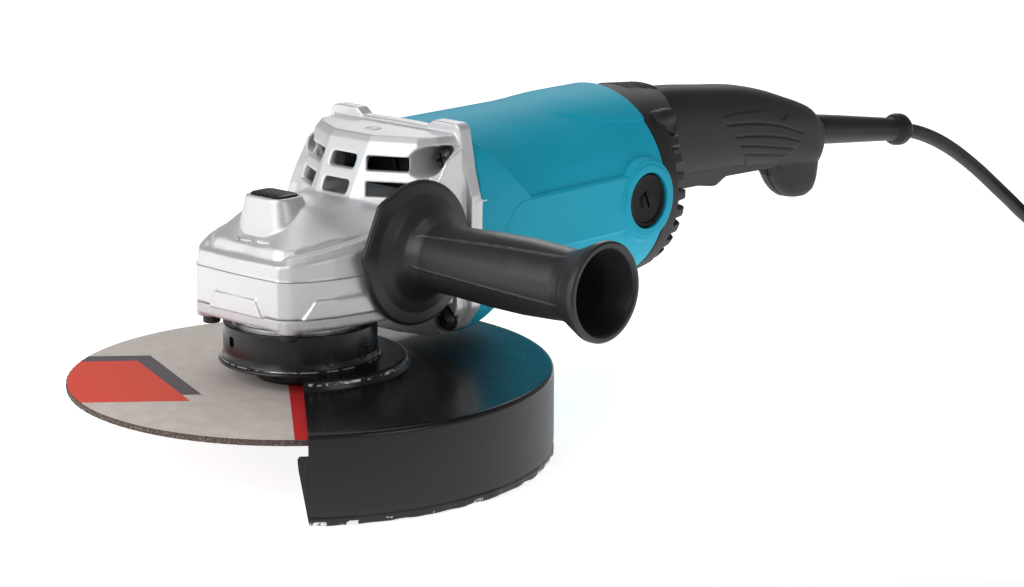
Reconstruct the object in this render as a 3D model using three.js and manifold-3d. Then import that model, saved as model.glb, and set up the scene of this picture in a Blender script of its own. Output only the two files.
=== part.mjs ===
// A 230 mm angle grinder with a rear bar handle, built as separate pieces.
// Millimetres, +Z up. Inside the model the spindle axis is x = y = 0, the disc's middle plane is z = 0,
// the motor lies along +X and the side handle points along -Y. At the end the whole model is moved so
// that the origin is under the middle of the machine, on the plane that the guard's rim rests on.
import * as THREE from 'three';
import { mergeVertices } from 'three/addons/utils/BufferGeometryUtils.js';
import Module from 'manifold-3d';

const wasm = await Module();
wasm.setup();

// ---------- driving dimensions ----------
const GAP = 0.3; // clearance kept between neighbouring pieces
const DISC_RADIUS = 115;
const DISC_THICKNESS = 3;
const DISC_BORE = 11.1;
const GUARD_RADIUS = 125;
const GUARD_SHEET = 2;
const GUARD_TOP = 7;
const GUARD_RIM = -37;
const GUARD_MIDDLE_DEG = -42; // the guard covers 90 degrees each side of this direction
const COLLAR_RADIUS = 38;
const COLLAR_TOP = 30;
const NECK_RADIUS = 33.8;
const BOX_BOTTOM = 35; // underside of the bearing box
const BOX_TOP = 41;
const CREASE = 59.5; // height at which the head starts to lean inwards
const DECK = 76;
const MOTOR_AXIS = 66; // height of the motor's axis
const FLANGE_FRONT = 60;
const FLANGE_BACK = 74;
const FLANGE_RIM = 52.5; // half width of the flange's wider rear part
const FLANGE_RIM_FRONT = 66.9;
const HOUSING_RADIUS = 53;
const HOUSING_BACK = 218;
const SCREW_SPREAD = 40.5; // housing screws, across and up from the motor's axis
const BRUSH_X = 201.5;
const SIDE_HANDLE_X = 30;
const SIDE_HANDLE_ROOT = 49.6; // distance of the side handle's flange from the machine's middle plane
const SIDE_HANDLE_END = 172;
const SPINDLE_END = -16;
const GEAR_TEETH = 28;
const PINION_TEETH = 7;
const GEAR_RADIUS = 30; // pitch radius at the outer end of the teeth
const LOCK_X = -16; // shaft lock, in front of the spindle
const LOCK_TOP = 93;
const HANDLE_START = 228;
const HANDLE_END = 417.5;
const PIVOT = [367, 57]; // trigger hinge, x and z
const CORD_RADIUS = 4.5;
const COIL_CENTRE = [702, -62];
const COIL_MIDDLE = 49.5; // middle radius of the turns
const COIL_COLUMNS = 3;
const COIL_ROWS = 4;
const FLOOR = GUARD_RIM;

// ---------- materials ----------
const finishes = {
  castSilver: [0xc6c8c9, 0.42, 0.75],
  steel: [0xa9abad, 0.3, 1.0],
  blackSteel: [0x1b1b1d, 0.45, 0.6],
  guardBlack: [0x141416, 0.35, 0.3],
  teal: [0x1c93ad, 0.42, 0.0],
  blackPlastic: [0x262527, 0.55, 0.0],
  rubber: [0x1e1e20, 0.75, 0.0],
  disc: [0xb9aca0, 0.9, 0.0],
  copper: [0xb06a3a, 0.4, 0.9],
  lamination: [0x6f7072, 0.5, 0.8],
  carbon: [0x2c2c2e, 0.8, 0.1],
  brass: [0xb8964c, 0.35, 0.9],
};
function finish(name) {
  const [color, roughness, metalness] = finishes[name];
  return new THREE.MeshStandardMaterial({ color, roughness, metalness });
}

// ---------- solids ----------
// Turns a closed three.js geometry into a manifold solid with its faces pointing out.
function solid(geometry) {
  const bare = geometry.index ? geometry.toNonIndexed() : geometry.clone();
  for (const name of Object.keys(bare.attributes)) {
    if (name !== 'position') bare.deleteAttribute(name);
  }
  const merged = mergeVertices(bare, 1e-4);
  const points = merged.attributes.position.array;
  const corners = merged.index.array;
  const kept = [];
  let volume = 0;
  for (let i = 0; i < corners.length; i += 3) {
    const [a, b, c] = corners.slice(i, i + 3);
    if (a === b || b === c || c === a) continue;
    kept.push(a, b, c);
    const [p, q, r] = [a, b, c].map((k) => new THREE.Vector3().fromArray(points, 3 * k));
    volume += p.dot(q.cross(r));
  }
  if (volume < 0) kept.reverse();
  const mesh = new wasm.Mesh({
    numProp: 3,
    vertProperties: new Float32Array(points),
    triVerts: new Uint32Array(kept),
  });
  return new wasm.Manifold(mesh);
}

// Moves geometry made about three.js's own axis so that this axis becomes x, y or z.
const ontoX = new THREE.Matrix4().set(0, 0, 1, 0, 1, 0, 0, 0, 0, 1, 0, 0, 0, 0, 0, 1);
const ontoY = new THREE.Matrix4().set(1, 0, 0, 0, 0, 0, 1, 0, 0, 1, 0, 0, 0, 0, 0, 1);
const turned = {
  x: (geometry) => geometry.applyMatrix4(ontoX),
  y: (geometry) => geometry.applyMatrix4(ontoY),
  z: (geometry) => geometry,
};

// A prism along an axis. The outline is [y, z] for x, [x, z] for y and [x, y] for z.
function prism(axis, outline, from, to) {
  const shape = new THREE.Shape(outline.map(([u, v]) => new THREE.Vector2(u, v)));
  const geometry = new THREE.ExtrudeGeometry(shape, { depth: to - from, bevelEnabled: false });
  geometry.translate(0, 0, from);
  return solid(turned[axis](geometry));
}

// A turned piece about an axis through centre, from a profile of [radius, distance along the axis].
// A profile that doesn't start on the axis is closed to a ring.
function revolve(axis, profile, sides = 32, centre = [0, 0, 0]) {
  const points = profile.map(([r, h]) => new THREE.Vector2(r, h));
  if (profile[0][0] > 0) points.push(points[0].clone());
  const geometry = new THREE.LatheGeometry(points, sides);
  geometry.rotateX(Math.PI / 2); // the lathe's own axis is y
  turned[axis](geometry);
  geometry.translate(...centre);
  return solid(geometry);
}

function cylinder(axis, radius, from, to, centre = [0, 0, 0], sides = 24) {
  return revolve(axis, [[0, from], [radius, from], [radius, to], [0, to]], sides, centre);
}

function tube(axis, inner, outer, from, to, centre = [0, 0, 0], sides = 32) {
  return revolve(axis, [[inner, from], [outer, from], [outer, to], [inner, to]], sides, centre);
}

function box(x0, x1, y0, y1, z0, z1) {
  const geometry = new THREE.BoxGeometry(x1 - x0, y1 - y0, z1 - z0);
  geometry.translate((x0 + x1) / 2, (y0 + y1) / 2, (z0 + z1) / 2);
  return solid(geometry);
}

// A skin over rings of equally many [x, y, z] points, closed at both ends.
// flat maps a point of an end ring to the two coordinates in which that end is filled.
function loft(rings, flat) {
  const n = rings[0].length;
  const positions = rings.flat().flat();
  const faces = [];
  for (let k = 0; k + 1 < rings.length; k++) {
    for (let i = 0; i < n; i++) {
      const [a, b] = [k * n + i, k * n + ((i + 1) % n)];
      faces.push(a, b, b + n, a, b + n, a + n);
    }
  }
  for (const k of [0, rings.length - 1]) {
    const end = rings[k].map((p) => new THREE.Vector2(...flat(p)));
    const clockwise = THREE.ShapeUtils.isClockWise(end);
    const order = end.map((p, i) => i);
    if (clockwise) order.reverse();
    for (const face of THREE.ShapeUtils.triangulateShape(order.map((i) => end[i]), [])) {
      let [a, b, c] = face.map((i) => k * n + order[i]);
      // the cap faces the other way on the first ring than on the last
      if ((k === 0) !== clockwise) [b, c] = [c, b];
      faces.push(a, b, c);
    }
  }
  const geometry = new THREE.BufferGeometry();
  geometry.setAttribute('position', new THREE.Float32BufferAttribute(positions, 3));
  geometry.setIndex(faces);
  return solid(geometry);
}

const join = (...parts) => parts.reduce((whole, part) => whole.add(part));
const cut = (body, ...tools) => tools.reduce((rest, tool) => rest.subtract(tool), body);
const radians = (degrees) => (degrees * Math.PI) / 180;

// ---------- outlines ----------
// Half plan of the gear head, from the middle of its front to the motor flange.
const HEAD_PLAN = [
  [-42.5, 0], [-41, 28.5], [-36.5, 35.5], [-28, 40], [-15, 44.6], [0, 47.4], [10, 48.8], [66, 49],
];

// The whole plan, moved inwards by inset everywhere but at the flange, at height z.
function headRing(inset, z) {
  const side = HEAD_PLAN.map(([x, y]) => {
    const share = x > 60 ? 0 : 1;
    const reach = Math.hypot(x, y);
    return [x - (share * inset * x) / reach, y - (inset * y) / reach, z];
  });
  const mirrored = side.slice(1).reverse().map(([x, y, height]) => [x, -y, height]);
  return [...side, ...mirrored];
}

// A rounded square or circle about the motor's axis, in the plane at x.
function motorRing(x, radius, power, count = 40) {
  return Array.from({ length: count }, (_, i) => {
    const angle = (2 * Math.PI * i) / count;
    const [c, s] = [Math.cos(angle), Math.sin(angle)];
    const scale = radius / (Math.abs(c) ** power + Math.abs(s) ** power) ** (1 / power);
    return [x, scale * c, MOTOR_AXIS + scale * s];
  });
}

const onAxis = [0, 0, MOTOR_AXIS];
const atBrush = [BRUSH_X, 0, MOTOR_AXIS];
const sideHandleAt = [SIDE_HANDLE_X, 0, MOTOR_AXIS];
// Two distances from the middle plane, on one side of it, lowest y first.
const outwards = (side, from, to) => [side * from, side * to].sort((a, b) => a - b);
const acrossX = ([, y, z]) => [y, z];
const acrossZ = ([x, y]) => [x, y];
const corners = [[1, 1], [-1, 1], [-1, -1], [1, -1]];

// ---------- gear head ----------
// Cooling-air hood: three leaning facets with two rows of slots in each, under a flat roof.
// Each level holds the corners of half a ring, from the front facet's edge to the motor flange.
function hood(inset, base, roof) {
  const back = 67 - inset;
  const levels = [
    [base, [16, 12], [36, 43], [50, 47], [back, 47]],
    [98, [27, 13], [42, 40], [52, 45], [back, 46]],
    [roof - 3, [35, 14], [46, 36], [54, 42], [back, 44]],
    [roof, [37.5, 13], [48, 34], [55, 40], [back, 42]],
  ];
  return loft(levels.map(([z, ...half]) => {
    const near = half.map(([x, y]) => [x + inset, y - inset * 0.6, z]);
    return [...near, ...near.slice().reverse().map(([x, y]) => [x, -y, z])];
  }), acrossZ);
}

function hoodSlots() {
  const slots = [];
  for (const [low, high] of [[89.5, 96.5], [101.5, 108.5]]) {
    slots.push(box(10, 48, -8, 8, low, high));
    for (const side of [1, -1]) {
      const slot = box(-9, 9, -8, 12, low, high);
      // each diagonal slot is cut square to its own facet
      const [fx, fy, facing] = [36, 28 * side, side > 0 ? 142 : 38];
      slots.push(slot.rotate([0, 0, facing]).translate([fx, fy, 0]));
    }
  }
  return slots;
}

// Outline of the motor flange: a rounded square with two ears on top.
function flangeOutline(width) {
  const ears = [[47.5, 109], [45, 121], [42, 123.5], [30, 123.5], [26, 119]];
  const roof = [[20, 119.4], [10, 119.8]];
  const half = [[width, 66], [width, 94], ...ears, ...roof];
  const lower = [[10, 13.2], [32, 15], [44, 20], [width, 32]];
  return [
    ...half, ...half.slice(1).reverse().map(([y, z]) => [-y, z]), [-width, 66],
    ...lower.slice().reverse().map(([y, z]) => [-y, z]), ...lower,
  ];
}

// Side view of the webs that brace the flange's ears against the head: x, z.
const WEB = [[36, 74], [40, 85.5], [44.7, 94], [49.5, 101], [53, 107], [58, 110], [62, 112], [62, 74]];

const boxScrewPlaces = [[-33.5, 27.5], [-33.5, -27.5], [35, 40.5], [35, -40.5]];

function gearHousing() {
  const head = loft(
    [
      headRing(0, BOX_TOP + GAP), headRing(0, CREASE), headRing(2.4, 65.5), headRing(6, 70),
      headRing(7.2, 75), headRing(9, DECK),
    ],
    acrossZ,
  );
  // the deck rises from the front edge to the hood
  const deck = loft(
    [DECK - 4, DECK, 80, 88].map((z, k) => {
      const front = [-33, -33, -22, 10][k];
      const width = [36, 36, 33, 26][k];
      return [
        [front, 12 - k], [front + 14, width], [66, width + 2], [66, -width - 2], [front + 14, -width],
        [front, k - 12],
      ].map(([x, y]) => [x, y, z]);
    }),
    acrossZ,
  );
  const boss = revolve(
    'z', [[0, 70], [23, 70], [19.5, 79], [16, 88], [15, LOCK_TOP], [0, LOCK_TOP]], 20,
    [LOCK_X - 1, 0, 0],
  );
  const flange = join(
    prism('x', flangeOutline(49.2), FLANGE_FRONT, FLANGE_BACK),
    prism('x', flangeOutline(FLANGE_RIM), FLANGE_RIM_FRONT, FLANGE_BACK),
  );
  const webs = [1, -1].map((side) => prism('y', WEB, ...outwards(side, 42, 49.2)));
  const handleBosses = [1, -1].map((side) =>
    cylinder('y', 15, ...outwards(side, 40, 49.2), sideHandleAt));
  const body = join(head, deck, boss, flange, hood(0, 74, 118), ...webs, ...handleBosses);

  const gearChamber = cylinder('z', 34.5, BOX_TOP - 1, 73, [0, 0, 0], 28);
  const upperSeat = cylinder('z', 11 + GAP, 72, 83);
  const bearingSeat = cylinder('x', 17.5 + GAP, 30, 58, onAxis);
  const pinionRoom = cylinder('x', 10, 8, 50, onAxis, 16);
  const shaftHole = cylinder('x', 9, 50, FLANGE_BACK + 1, onAxis, 16);
  const fanChamber = cylinder('x', 47, 62, FLANGE_BACK + 1, onAxis, 28);
  const duct = cut(hood(4, 92, 113.5), box(0, 66, -60, 60, 60, 88));
  const ductMouth = box(45, 64, -30, 30, 92, 108);
  const lockHole = join(
    cylinder('z', 4.4, 70, LOCK_TOP, [LOCK_X, 0, 0], 16),
    prism('z', buttonOutline(GAP), LOCK_TOP - 9, LOCK_TOP + 1),
  );
  const pockets = corners.map(([sy, sz]) =>
    cylinder('x', 7.2, 34, 63.4, [0, sy * SCREW_SPREAD, MOTOR_AXIS + sz * SCREW_SPREAD], 14));
  const screwHoles = corners.map(([sy, sz]) =>
    cylinder('x', 3 + GAP, 60, 75, [0, sy * SCREW_SPREAD, MOTOR_AXIS + sz * SCREW_SPREAD], 12));
  const boxScrewHoles = boxScrewPlaces.map(([x, y]) => cylinder('z', 2.5 + GAP, 40, 53, [x, y, 0], 12));
  const studHoles = [1, -1].map((side) =>
    cylinder('y', 6.6, ...outwards(side, 33, 50), sideHandleAt, 20));
  return cut(
    body, gearChamber, upperSeat, bearingSeat, pinionRoom, shaftHole, fanChamber, duct, ductMouth, lockHole,
    ...pockets, ...screwHoles, ...boxScrewHoles, ...studHoles, ...hoodSlots(),
  );
}

function bearingBox() {
  const plate = loft([headRing(1, BOX_BOTTOM), headRing(0, BOX_BOTTOM + 1.5), headRing(0, BOX_TOP)], acrossZ);
  const neck = cylinder('z', NECK_RADIUS, 13.5, BOX_BOTTOM + 2, [0, 0, 0], 40);
  const behind = box(58, 70, -60, 60, 30, 50); // the plate stops short of the motor flange
  return cut(
    join(plate, neck), behind,
    cylinder('z', 17.5 + GAP, 20, BOX_TOP + 1, [0, 0, 0], 20), cylinder('z', 12.8, 13, 21, [0, 0, 0], 20),
    ...boxScrewPlaces.map(([x, y]) => cylinder('z', 2.5 + GAP, BOX_BOTTOM - 1, BOX_TOP + 1, [x, y, 0], 12)),
  );
}

function bearingBoxScrew([x, y]) {
  return revolve('z', [
    [0, 29.6], [2, 29.6], [4, 29.9], [4, BOX_BOTTOM - GAP], [2.5, BOX_BOTTOM - GAP], [2.5, 51], [0, 51],
  ], 12, [x, y, 0]);
}

const bearing = (axis, inner, outer, from, to, centre) => tube(axis, inner, outer, from, to, centre, 20);

// ---------- spindle, gears and wheel ----------
const spindle = () => revolve('z', [
  [0, SPINDLE_END], [6, SPINDLE_END], [7, SPINDLE_END + 1], [7, 14], [7.5, 14.5], [7.5, 61], [6.5, 62],
  [5.7, 73.5], [5.7, 82], [0, 82],
], 24);

// The bevel pair shares one pitch cone apex, on the spindle's axis at the height of the motor's axis.
const APEX = MOTOR_AXIS;
const PINION_RADIUS = (GEAR_RADIUS * PINION_TEETH) / GEAR_TEETH;
const CONE = Math.atan2(PINION_RADIUS, GEAR_RADIUS);
const TOOTH_INNER = 0.7; // inner end of the teeth, as a share of the cone's length
const TOOTH = { tip: 1.3, root: 2.1, tipHalf: 0.1, rootHalf: 0.24 }; // heights in mm, half widths in pitches

// A ring of teeth at the share s of the cone: four points to a tooth. place turns a height above the
// pitch cone and an angle into a point.
function toothRing(teeth, first, pitchAngle, place) {
  const { tip, root, tipHalf, rootHalf } = TOOTH;
  const flank = [[-root, -rootHalf], [tip, -tipHalf], [tip, tipHalf], [-root, rootHalf]];
  return Array.from({ length: teeth }, (_, k) => flank.map(
    ([height, part]) => place(height, first + (k + part) * pitchAngle),
  )).flat();
}

function bevelGear() {
  const pitchAngle = (2 * Math.PI) / GEAR_TEETH;
  const around = (radius, z, angle) => [radius * Math.cos(angle), radius * Math.sin(angle), z];
  const teethAt = (s) => toothRing(GEAR_TEETH, 0, pitchAngle, (height, angle) => around(
    s * (GEAR_RADIUS + Math.sin(CONE) * height), APEX - s * (PINION_RADIUS - Math.cos(CONE) * height), angle,
  ));
  const plain = (radius, z) => toothRing(GEAR_TEETH, 0, pitchAngle, (_, angle) => around(radius, z, angle));
  const body = loft([plain(28.5, 51), teethAt(1), teethAt(TOOTH_INNER), plain(19.6, 57.5)], acrossZ);
  const hub = cylinder('z', 20, 46, 52);
  const lockHoles = [0, 90, 180, 270].map((deg) => cylinder(
    'z', 4.2, 48, 60, [LOCK_X * Math.cos(radians(deg)), LOCK_X * Math.sin(radians(deg)), 0], 10,
  ));
  return cut(join(body, hub), cylinder('z', 7.5 + GAP, 40, 60), ...lockHoles);
}

function bevelPinion() {
  const pitchAngle = (2 * Math.PI) / PINION_TEETH;
  // a gap, not a tooth, faces down at rest, where the gear has a tooth
  const first = -Math.PI / 2 + pitchAngle / 2;
  const around = (radius, x, angle) => [x, radius * Math.cos(angle), APEX + radius * Math.sin(angle)];
  const teethAt = (s) => toothRing(PINION_TEETH, first, pitchAngle, (height, angle) => around(
    s * (PINION_RADIUS + Math.cos(CONE) * height), s * (GEAR_RADIUS + Math.sin(CONE) * height), angle,
  ));
  const shoulder = revolve('x', [[0, 27], [5, 27], [5, 32], [6.5, 32], [6.5, 38], [0, 38]], 16, onAxis);
  const body = join(loft([teethAt(TOOTH_INNER), teethAt(1)], acrossX), shoulder);
  return cut(body, cylinder('x', 4 + GAP, 10, 45, onAxis, 16));
}

const innerFlange = () => revolve('z', [
  [7 + GAP, -1.2], [DISC_BORE - GAP, -1.2], [DISC_BORE - GAP, DISC_THICKNESS / 2 + GAP],
  [22, DISC_THICKNESS / 2 + GAP], [23, 3], [23, 8], [21.5, 9], [12, 9.6], [12, 13], [7 + GAP, 13],
], 24);

const cuttingDisc = () => tube(
  'z', DISC_BORE, DISC_RADIUS, -DISC_THICKNESS / 2, DISC_THICKNESS / 2, [0, 0, 0], 60,
);

function lockNut() {
  const nut = revolve('z', [
    [7 + GAP, -11], [12, -11], [13, -9.5], [19, -8], [20, -7], [20, -2.2], [19, -DISC_THICKNESS / 2 - GAP],
    [7 + GAP, -DISC_THICKNESS / 2 - GAP],
  ], 24);
  const pinHoles = [1, -1].map((side) => cylinder('z', 2, -12, -4, [side * 15.5, 0, 0], 10));
  return cut(nut, ...pinHoles);
}

// ---------- guard ----------
const CLAMP_DEG = 80; // the collar's split and its clamp screw

function wheelGuard() {
  const sheet = GUARD_SHEET;
  const shell = revolve('z', [
    [NECK_RADIUS + 0.4, 9.5], [50.5, 9.5], [52, GUARD_TOP - sheet], [GUARD_RADIUS - sheet, GUARD_TOP - sheet],
    [GUARD_RADIUS - sheet, GUARD_RIM + 3], [GUARD_RADIUS - 3.4, GUARD_RIM + 2],
    [GUARD_RADIUS - 3.4, GUARD_RIM], [GUARD_RADIUS - 0.4, GUARD_RIM], [GUARD_RADIUS, GUARD_RIM + 1],
    [GUARD_RADIUS, GUARD_TOP - 1.6],
    [GUARD_RADIUS - 1.6, GUARD_TOP], [53.4, GUARD_TOP], [52.4, 11.5], [NECK_RADIUS + 0.4, 11.5],
  ], 60);
  const turn = (part, degrees) => part.rotate([0, 0, degrees]);
  const half = shell.intersect(turn(box(0, 140, -140, 140, -60, 60), GUARD_MIDDLE_DEG));
  const collar = tube('z', NECK_RADIUS + 0.4, COLLAR_RADIUS, 10.5, COLLAR_TOP, [0, 0, 0], 40);
  // a bent-in tab at the front end of the skirt
  const tab = loft([[GUARD_RIM + 1, 0.8], [-6, 5]].map(([z, reach]) => [
    [-reach, GUARD_RADIUS - 1.9], [1.5, GUARD_RADIUS - 1.9], [1.5, GUARD_RADIUS - 0.3],
    [-reach, GUARD_RADIUS - 0.9],
  ].map(([x, y]) => [x, -y, z])), acrossZ);
  const ears = box(COLLAR_RADIUS - 1.5, 51, -7, 7, 14, 26);
  const split = box(NECK_RADIUS - 3, 55, -1.5, 1.5, 9, COLLAR_TOP + 1);
  const screwHole = cylinder('y', 2.5 + GAP, -8, 8, [45.5, 0, 20], 12);
  return cut(
    join(half, collar, turn(tab, GUARD_MIDDLE_DEG), turn(ears, CLAMP_DEG)),
    turn(split, CLAMP_DEG), turn(screwHole, CLAMP_DEG),
  );
}

function guardClampScrew() {
  const head = cylinder('y', 4.2, 7 + GAP, 11.5, [45.5, 0, 20], 12);
  const shank = cylinder('y', 2.5, -9, 8, [45.5, 0, 20], 12);
  return join(head, shank).rotate([0, 0, CLAMP_DEG]);
}

// ---------- shaft lock ----------
function buttonOutline(grow) {
  const [long, wide, corner] = [7.2 + grow, 11 + grow, 4.5];
  const outline = [];
  corners.forEach(([sx, sy], quarter) => {
    for (const step of [0, 1, 2, 3]) {
      const angle = radians(90 * quarter + 30 * step);
      outline.push([
        LOCK_X + sx * (long - corner) + corner * Math.cos(angle),
        sy * (wide - corner) + corner * Math.sin(angle),
      ]);
    }
  });
  return outline;
}

const shaftLockButton = () => prism('z', buttonOutline(0), LOCK_TOP - 2.4, LOCK_TOP + 2.6);
const shaftLockPin = () => revolve(
  'z', [[0, 58.6], [3.2, 58.6], [3.9, 59.8], [3.9, LOCK_TOP - 2.4 - GAP], [0, LOCK_TOP - 2.4 - GAP]], 16,
  [LOCK_X, 0, 0],
);
const shaftLockSpring = () => tube(
  'z', 4.2, 5.4, LOCK_TOP - 9 + GAP, LOCK_TOP - 2.4 - GAP, [LOCK_X, 0, 0], 16,
);

// ---------- motor ----------
const armatureShaft = () => revolve('x', [
  [0, 14], [4, 14], [4, 38 + GAP], [7.2, 38 + GAP], [7.2, 60], [8, 61], [8, 186], [6, 187], [6, 215],
  [4.7, 216], [4.7, 229], [0, 229],
], 16, onAxis);

function armatureCore() {
  const slots = 12;
  const outline = Array.from({ length: slots * 4 }, (_, k) => {
    const angle = (2 * Math.PI * (Math.floor(k / 4) + [0, 0.72, 0.74, 0.98][k % 4])) / slots;
    const radius = k % 4 < 2 ? 24.5 : 19;
    return [radius * Math.cos(angle), MOTOR_AXIS + radius * Math.sin(angle)];
  });
  return cut(prism('x', outline, 112, 168), cylinder('x', 8 + GAP, 110, 170, onAxis, 16));
}

const winding = (from, to) => revolve('x', [
  [8 + GAP, from], [17, from], [22, from + 4], [22, to - 4], [18, to], [8 + GAP, to],
], 24, onAxis);

function coolingFan() {
  const plate = revolve('x', [
    [8 + GAP, 77], [12, 77], [42, 84], [42, 86], [12, 89], [8 + GAP, 89],
  ], 24, onAxis);
  const blades = Array.from({ length: 11 }, (_, k) => box(79, 91.5, 17, 42, -1, 1)
    .rotate([(360 * k) / 11, 0, 0]).translate([0, 0, MOTOR_AXIS]));
  return join(plate, ...blades);
}

const fanBaffle = () => revolve('x', [
  [30, 94], [48, 94], [48, 98], [46, 98], [46, 95.6], [30, 95.6],
], 24, onAxis);

function fieldCore() {
  const windows = corners.map(([sy, sz]) => {
    const [y, z] = [[sy * 18.7, sy * 28.3], [sz * 25.7, sz * 33.3]].map((pair) => pair.sort((a, b) => a - b));
    return box(110, 170, ...y, ...z.map((v) => v + MOTOR_AXIS));
  });
  return cut(cylinder('x', 46, 112, 168, onAxis, 32), cylinder('x', 25.3, 110, 170, onAxis, 24), ...windows);
}

function fieldCoil(side) {
  const [low, high] = [side * 26, side * 33].sort((a, b) => a - b).map((z) => z + MOTOR_AXIS);
  return cut(box(105, 175, -28, 28, low, high), box(111.6, 168.4, -19, 19, low - 1, high + 1));
}

function motorHousing() {
  const outer = loft([
    motorRing(FLANGE_BACK + GAP, 52.5, 4), motorRing(92, 53, 4), motorRing(100, 53, 3.2),
    motorRing(112, HOUSING_RADIUS, 2), motorRing(HOUSING_BACK, HOUSING_RADIUS, 2),
  ], acrossX);
  const capRings = [1, -1].map((side) => cylinder(
    'y', 16.2, ...outwards(side, 40, 54.4), atBrush, 20,
  ));
  const rearSeat = cylinder('x', 17, 213, 229.5, onAxis, 20);
  const bore = cylinder('x', 48.3, 70, 212, onAxis, 32);
  const windows = [45, 135, 225, 315].map((deg) => box(210, 220, 20, 44, -12, 12)
    .rotate([deg, 0, 0]).translate([0, 0, MOTOR_AXIS]));
  const capHoles = [1, -1].flatMap((side) => [
    cylinder('y', 10.4 + GAP, ...outwards(side, 38, 56), atBrush, 16),
    cylinder('y', 14.6 + GAP, ...outwards(side, 50.5, 56), atBrush, 20),
  ]);
  const screwHoles = corners.map(([sy, sz]) => cylinder(
    'x', 3 + GAP, 70, 97, [0, sy * SCREW_SPREAD, MOTOR_AXIS + sz * SCREW_SPREAD], 8,
  ));
  return cut(
    join(cut(join(outer, ...capRings), bore), rearSeat),
    cylinder('x', 13 + GAP, 219, 232, onAxis), cylinder('x', 8, 210, 232, onAxis, 20),
    ...windows, ...capHoles, ...screwHoles,
  );
}

function housingScrew([sy, sz]) {
  const profile = [[0, 58.6], [4.6, 58.6], [5.4, 60], [5.4, 63.4 - GAP], [3, 63.4 - GAP], [3, 94], [0, 94]];
  const screw = revolve('x', profile, 16, [0, sy * SCREW_SPREAD, MOTOR_AXIS + sz * SCREW_SPREAD]);
  const across = [[8, 1.4], [1.4, 8]].map(([wide, tall]) => box(
    58, 60, sy * SCREW_SPREAD - wide / 2, sy * SCREW_SPREAD + wide / 2,
    MOTOR_AXIS + sz * SCREW_SPREAD - tall / 2, MOTOR_AXIS + sz * SCREW_SPREAD + tall / 2,
  ));
  return cut(screw, ...across);
}

// ---------- brush gear ----------
function brushHolder(side) {
  const [near, far] = outwards(side, 19, 41);
  return cut(
    box(BRUSH_X - 10, BRUSH_X + 10, near, far, MOTOR_AXIS - 7, MOTOR_AXIS + 7),
    box(BRUSH_X - 8.3, BRUSH_X + 8.3, near - 1, far + 1, MOTOR_AXIS - 4.3, MOTOR_AXIS + 4.3),
  );
}
const carbonBrush = (side) => box(
  BRUSH_X - 8, BRUSH_X + 8, ...outwards(side, 16.4, 32), MOTOR_AXIS - 4, MOTOR_AXIS + 4,
);
const brushSpring = (side) => tube(
  'y', 2.6, 3.8, ...outwards(side, 32 + GAP, 42), atBrush, 12,
);
function brushCap(side) {
  const cap = join(
    cylinder('y', 10.4, ...outwards(side, 42 + GAP, 52), atBrush, 16),
    revolve('y', [[0, side * 50.8], [14.6, side * 50.8], [14.6, side * 52.6], [13.6, side * 53.4],
      [0, side * 53.4]], 20, atBrush),
  );
  const [near, far] = outwards(side, 52, 55);
  return cut(cap, box(BRUSH_X - 1, BRUSH_X + 1, near, far, MOTOR_AXIS - 6.5, MOTOR_AXIS + 6.5));
}

// ---------- rear cover and handle ----------
// How far the cover reaches behind the motor housing at a height above the motor's axis, which is given
// as a share of the housing's radius: least at the sides and below, most on top.
const coverReach = (up) => 20 + 28 * Math.max(0, up) ** 3;

function coverSolid(grow, start, count = 36) {
  const ring = (share, radius) => Array.from({ length: count }, (_, i) => {
    const angle = (2 * Math.PI * i) / count;
    const [c, s] = [Math.cos(angle), Math.sin(angle)];
    const reach = coverReach((s * radius) / HOUSING_RADIUS) * Math.abs(share) + grow;
    const x = share < 0 ? start : HOUSING_BACK + GAP + reach;
    const r = radius - 0.09 * (x - HOUSING_BACK) + grow;
    return [x, r * c, MOTOR_AXIS + r * s];
  });
  return loft([
    ring(-1, HOUSING_RADIUS), ring(0.5, HOUSING_RADIUS + 0.3), ring(0.94, HOUSING_RADIUS - 0.8),
    ring(1, HOUSING_RADIUS - 4), ring(1, 24),
  ], acrossX);
}

function rearCover() {
  const inner = coverSolid(-3.2, HOUSING_BACK - 2, 24);
  const notches = Array.from({ length: 22 }, (_, k) => {
    const angle = -205 + k * 11;
    return box(229, 236, 44, 56, -1.9, 1.9).rotate([angle, 0, 0]).translate([0, 0, MOTOR_AXIS]);
  });
  const wires = cylinder('x', 9, 225, 300, [0, 0, 84], 16);
  return cut(coverSolid(0, HOUSING_BACK + GAP), inner, wires, ...notches);
}

// Side view of the handle bar: x, lowest and highest z, half width.
const HANDLE_BAR = [
  [HANDLE_START, 58, 111.5, 18.5], [275, 58, 112, 18.5], [310, 57.5, 108.3, 18.5], [340, 56.5, 104.6, 19],
  [362, 54, 99.6, 19.2], [383, 50, 93, 18.5], [397, 46.5, 88.3, 16.8], [407, 46, 84, 14.5],
  [414, 50, 78.5, 11.8], [HANDLE_END, 56, 77, 9.8],
];
// The hook at the rear end: z, front and rear x, half width.
const HANDLE_HOOK = [
  [66, 371, 412, 15], [55, 370, 416, 14], [46, 375.5, 415.5, 13], [39, 381, 413.5, 12],
  [35, 385.5, 411, 10.5], [32.2, 390, 406.5, 8],
];

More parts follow.
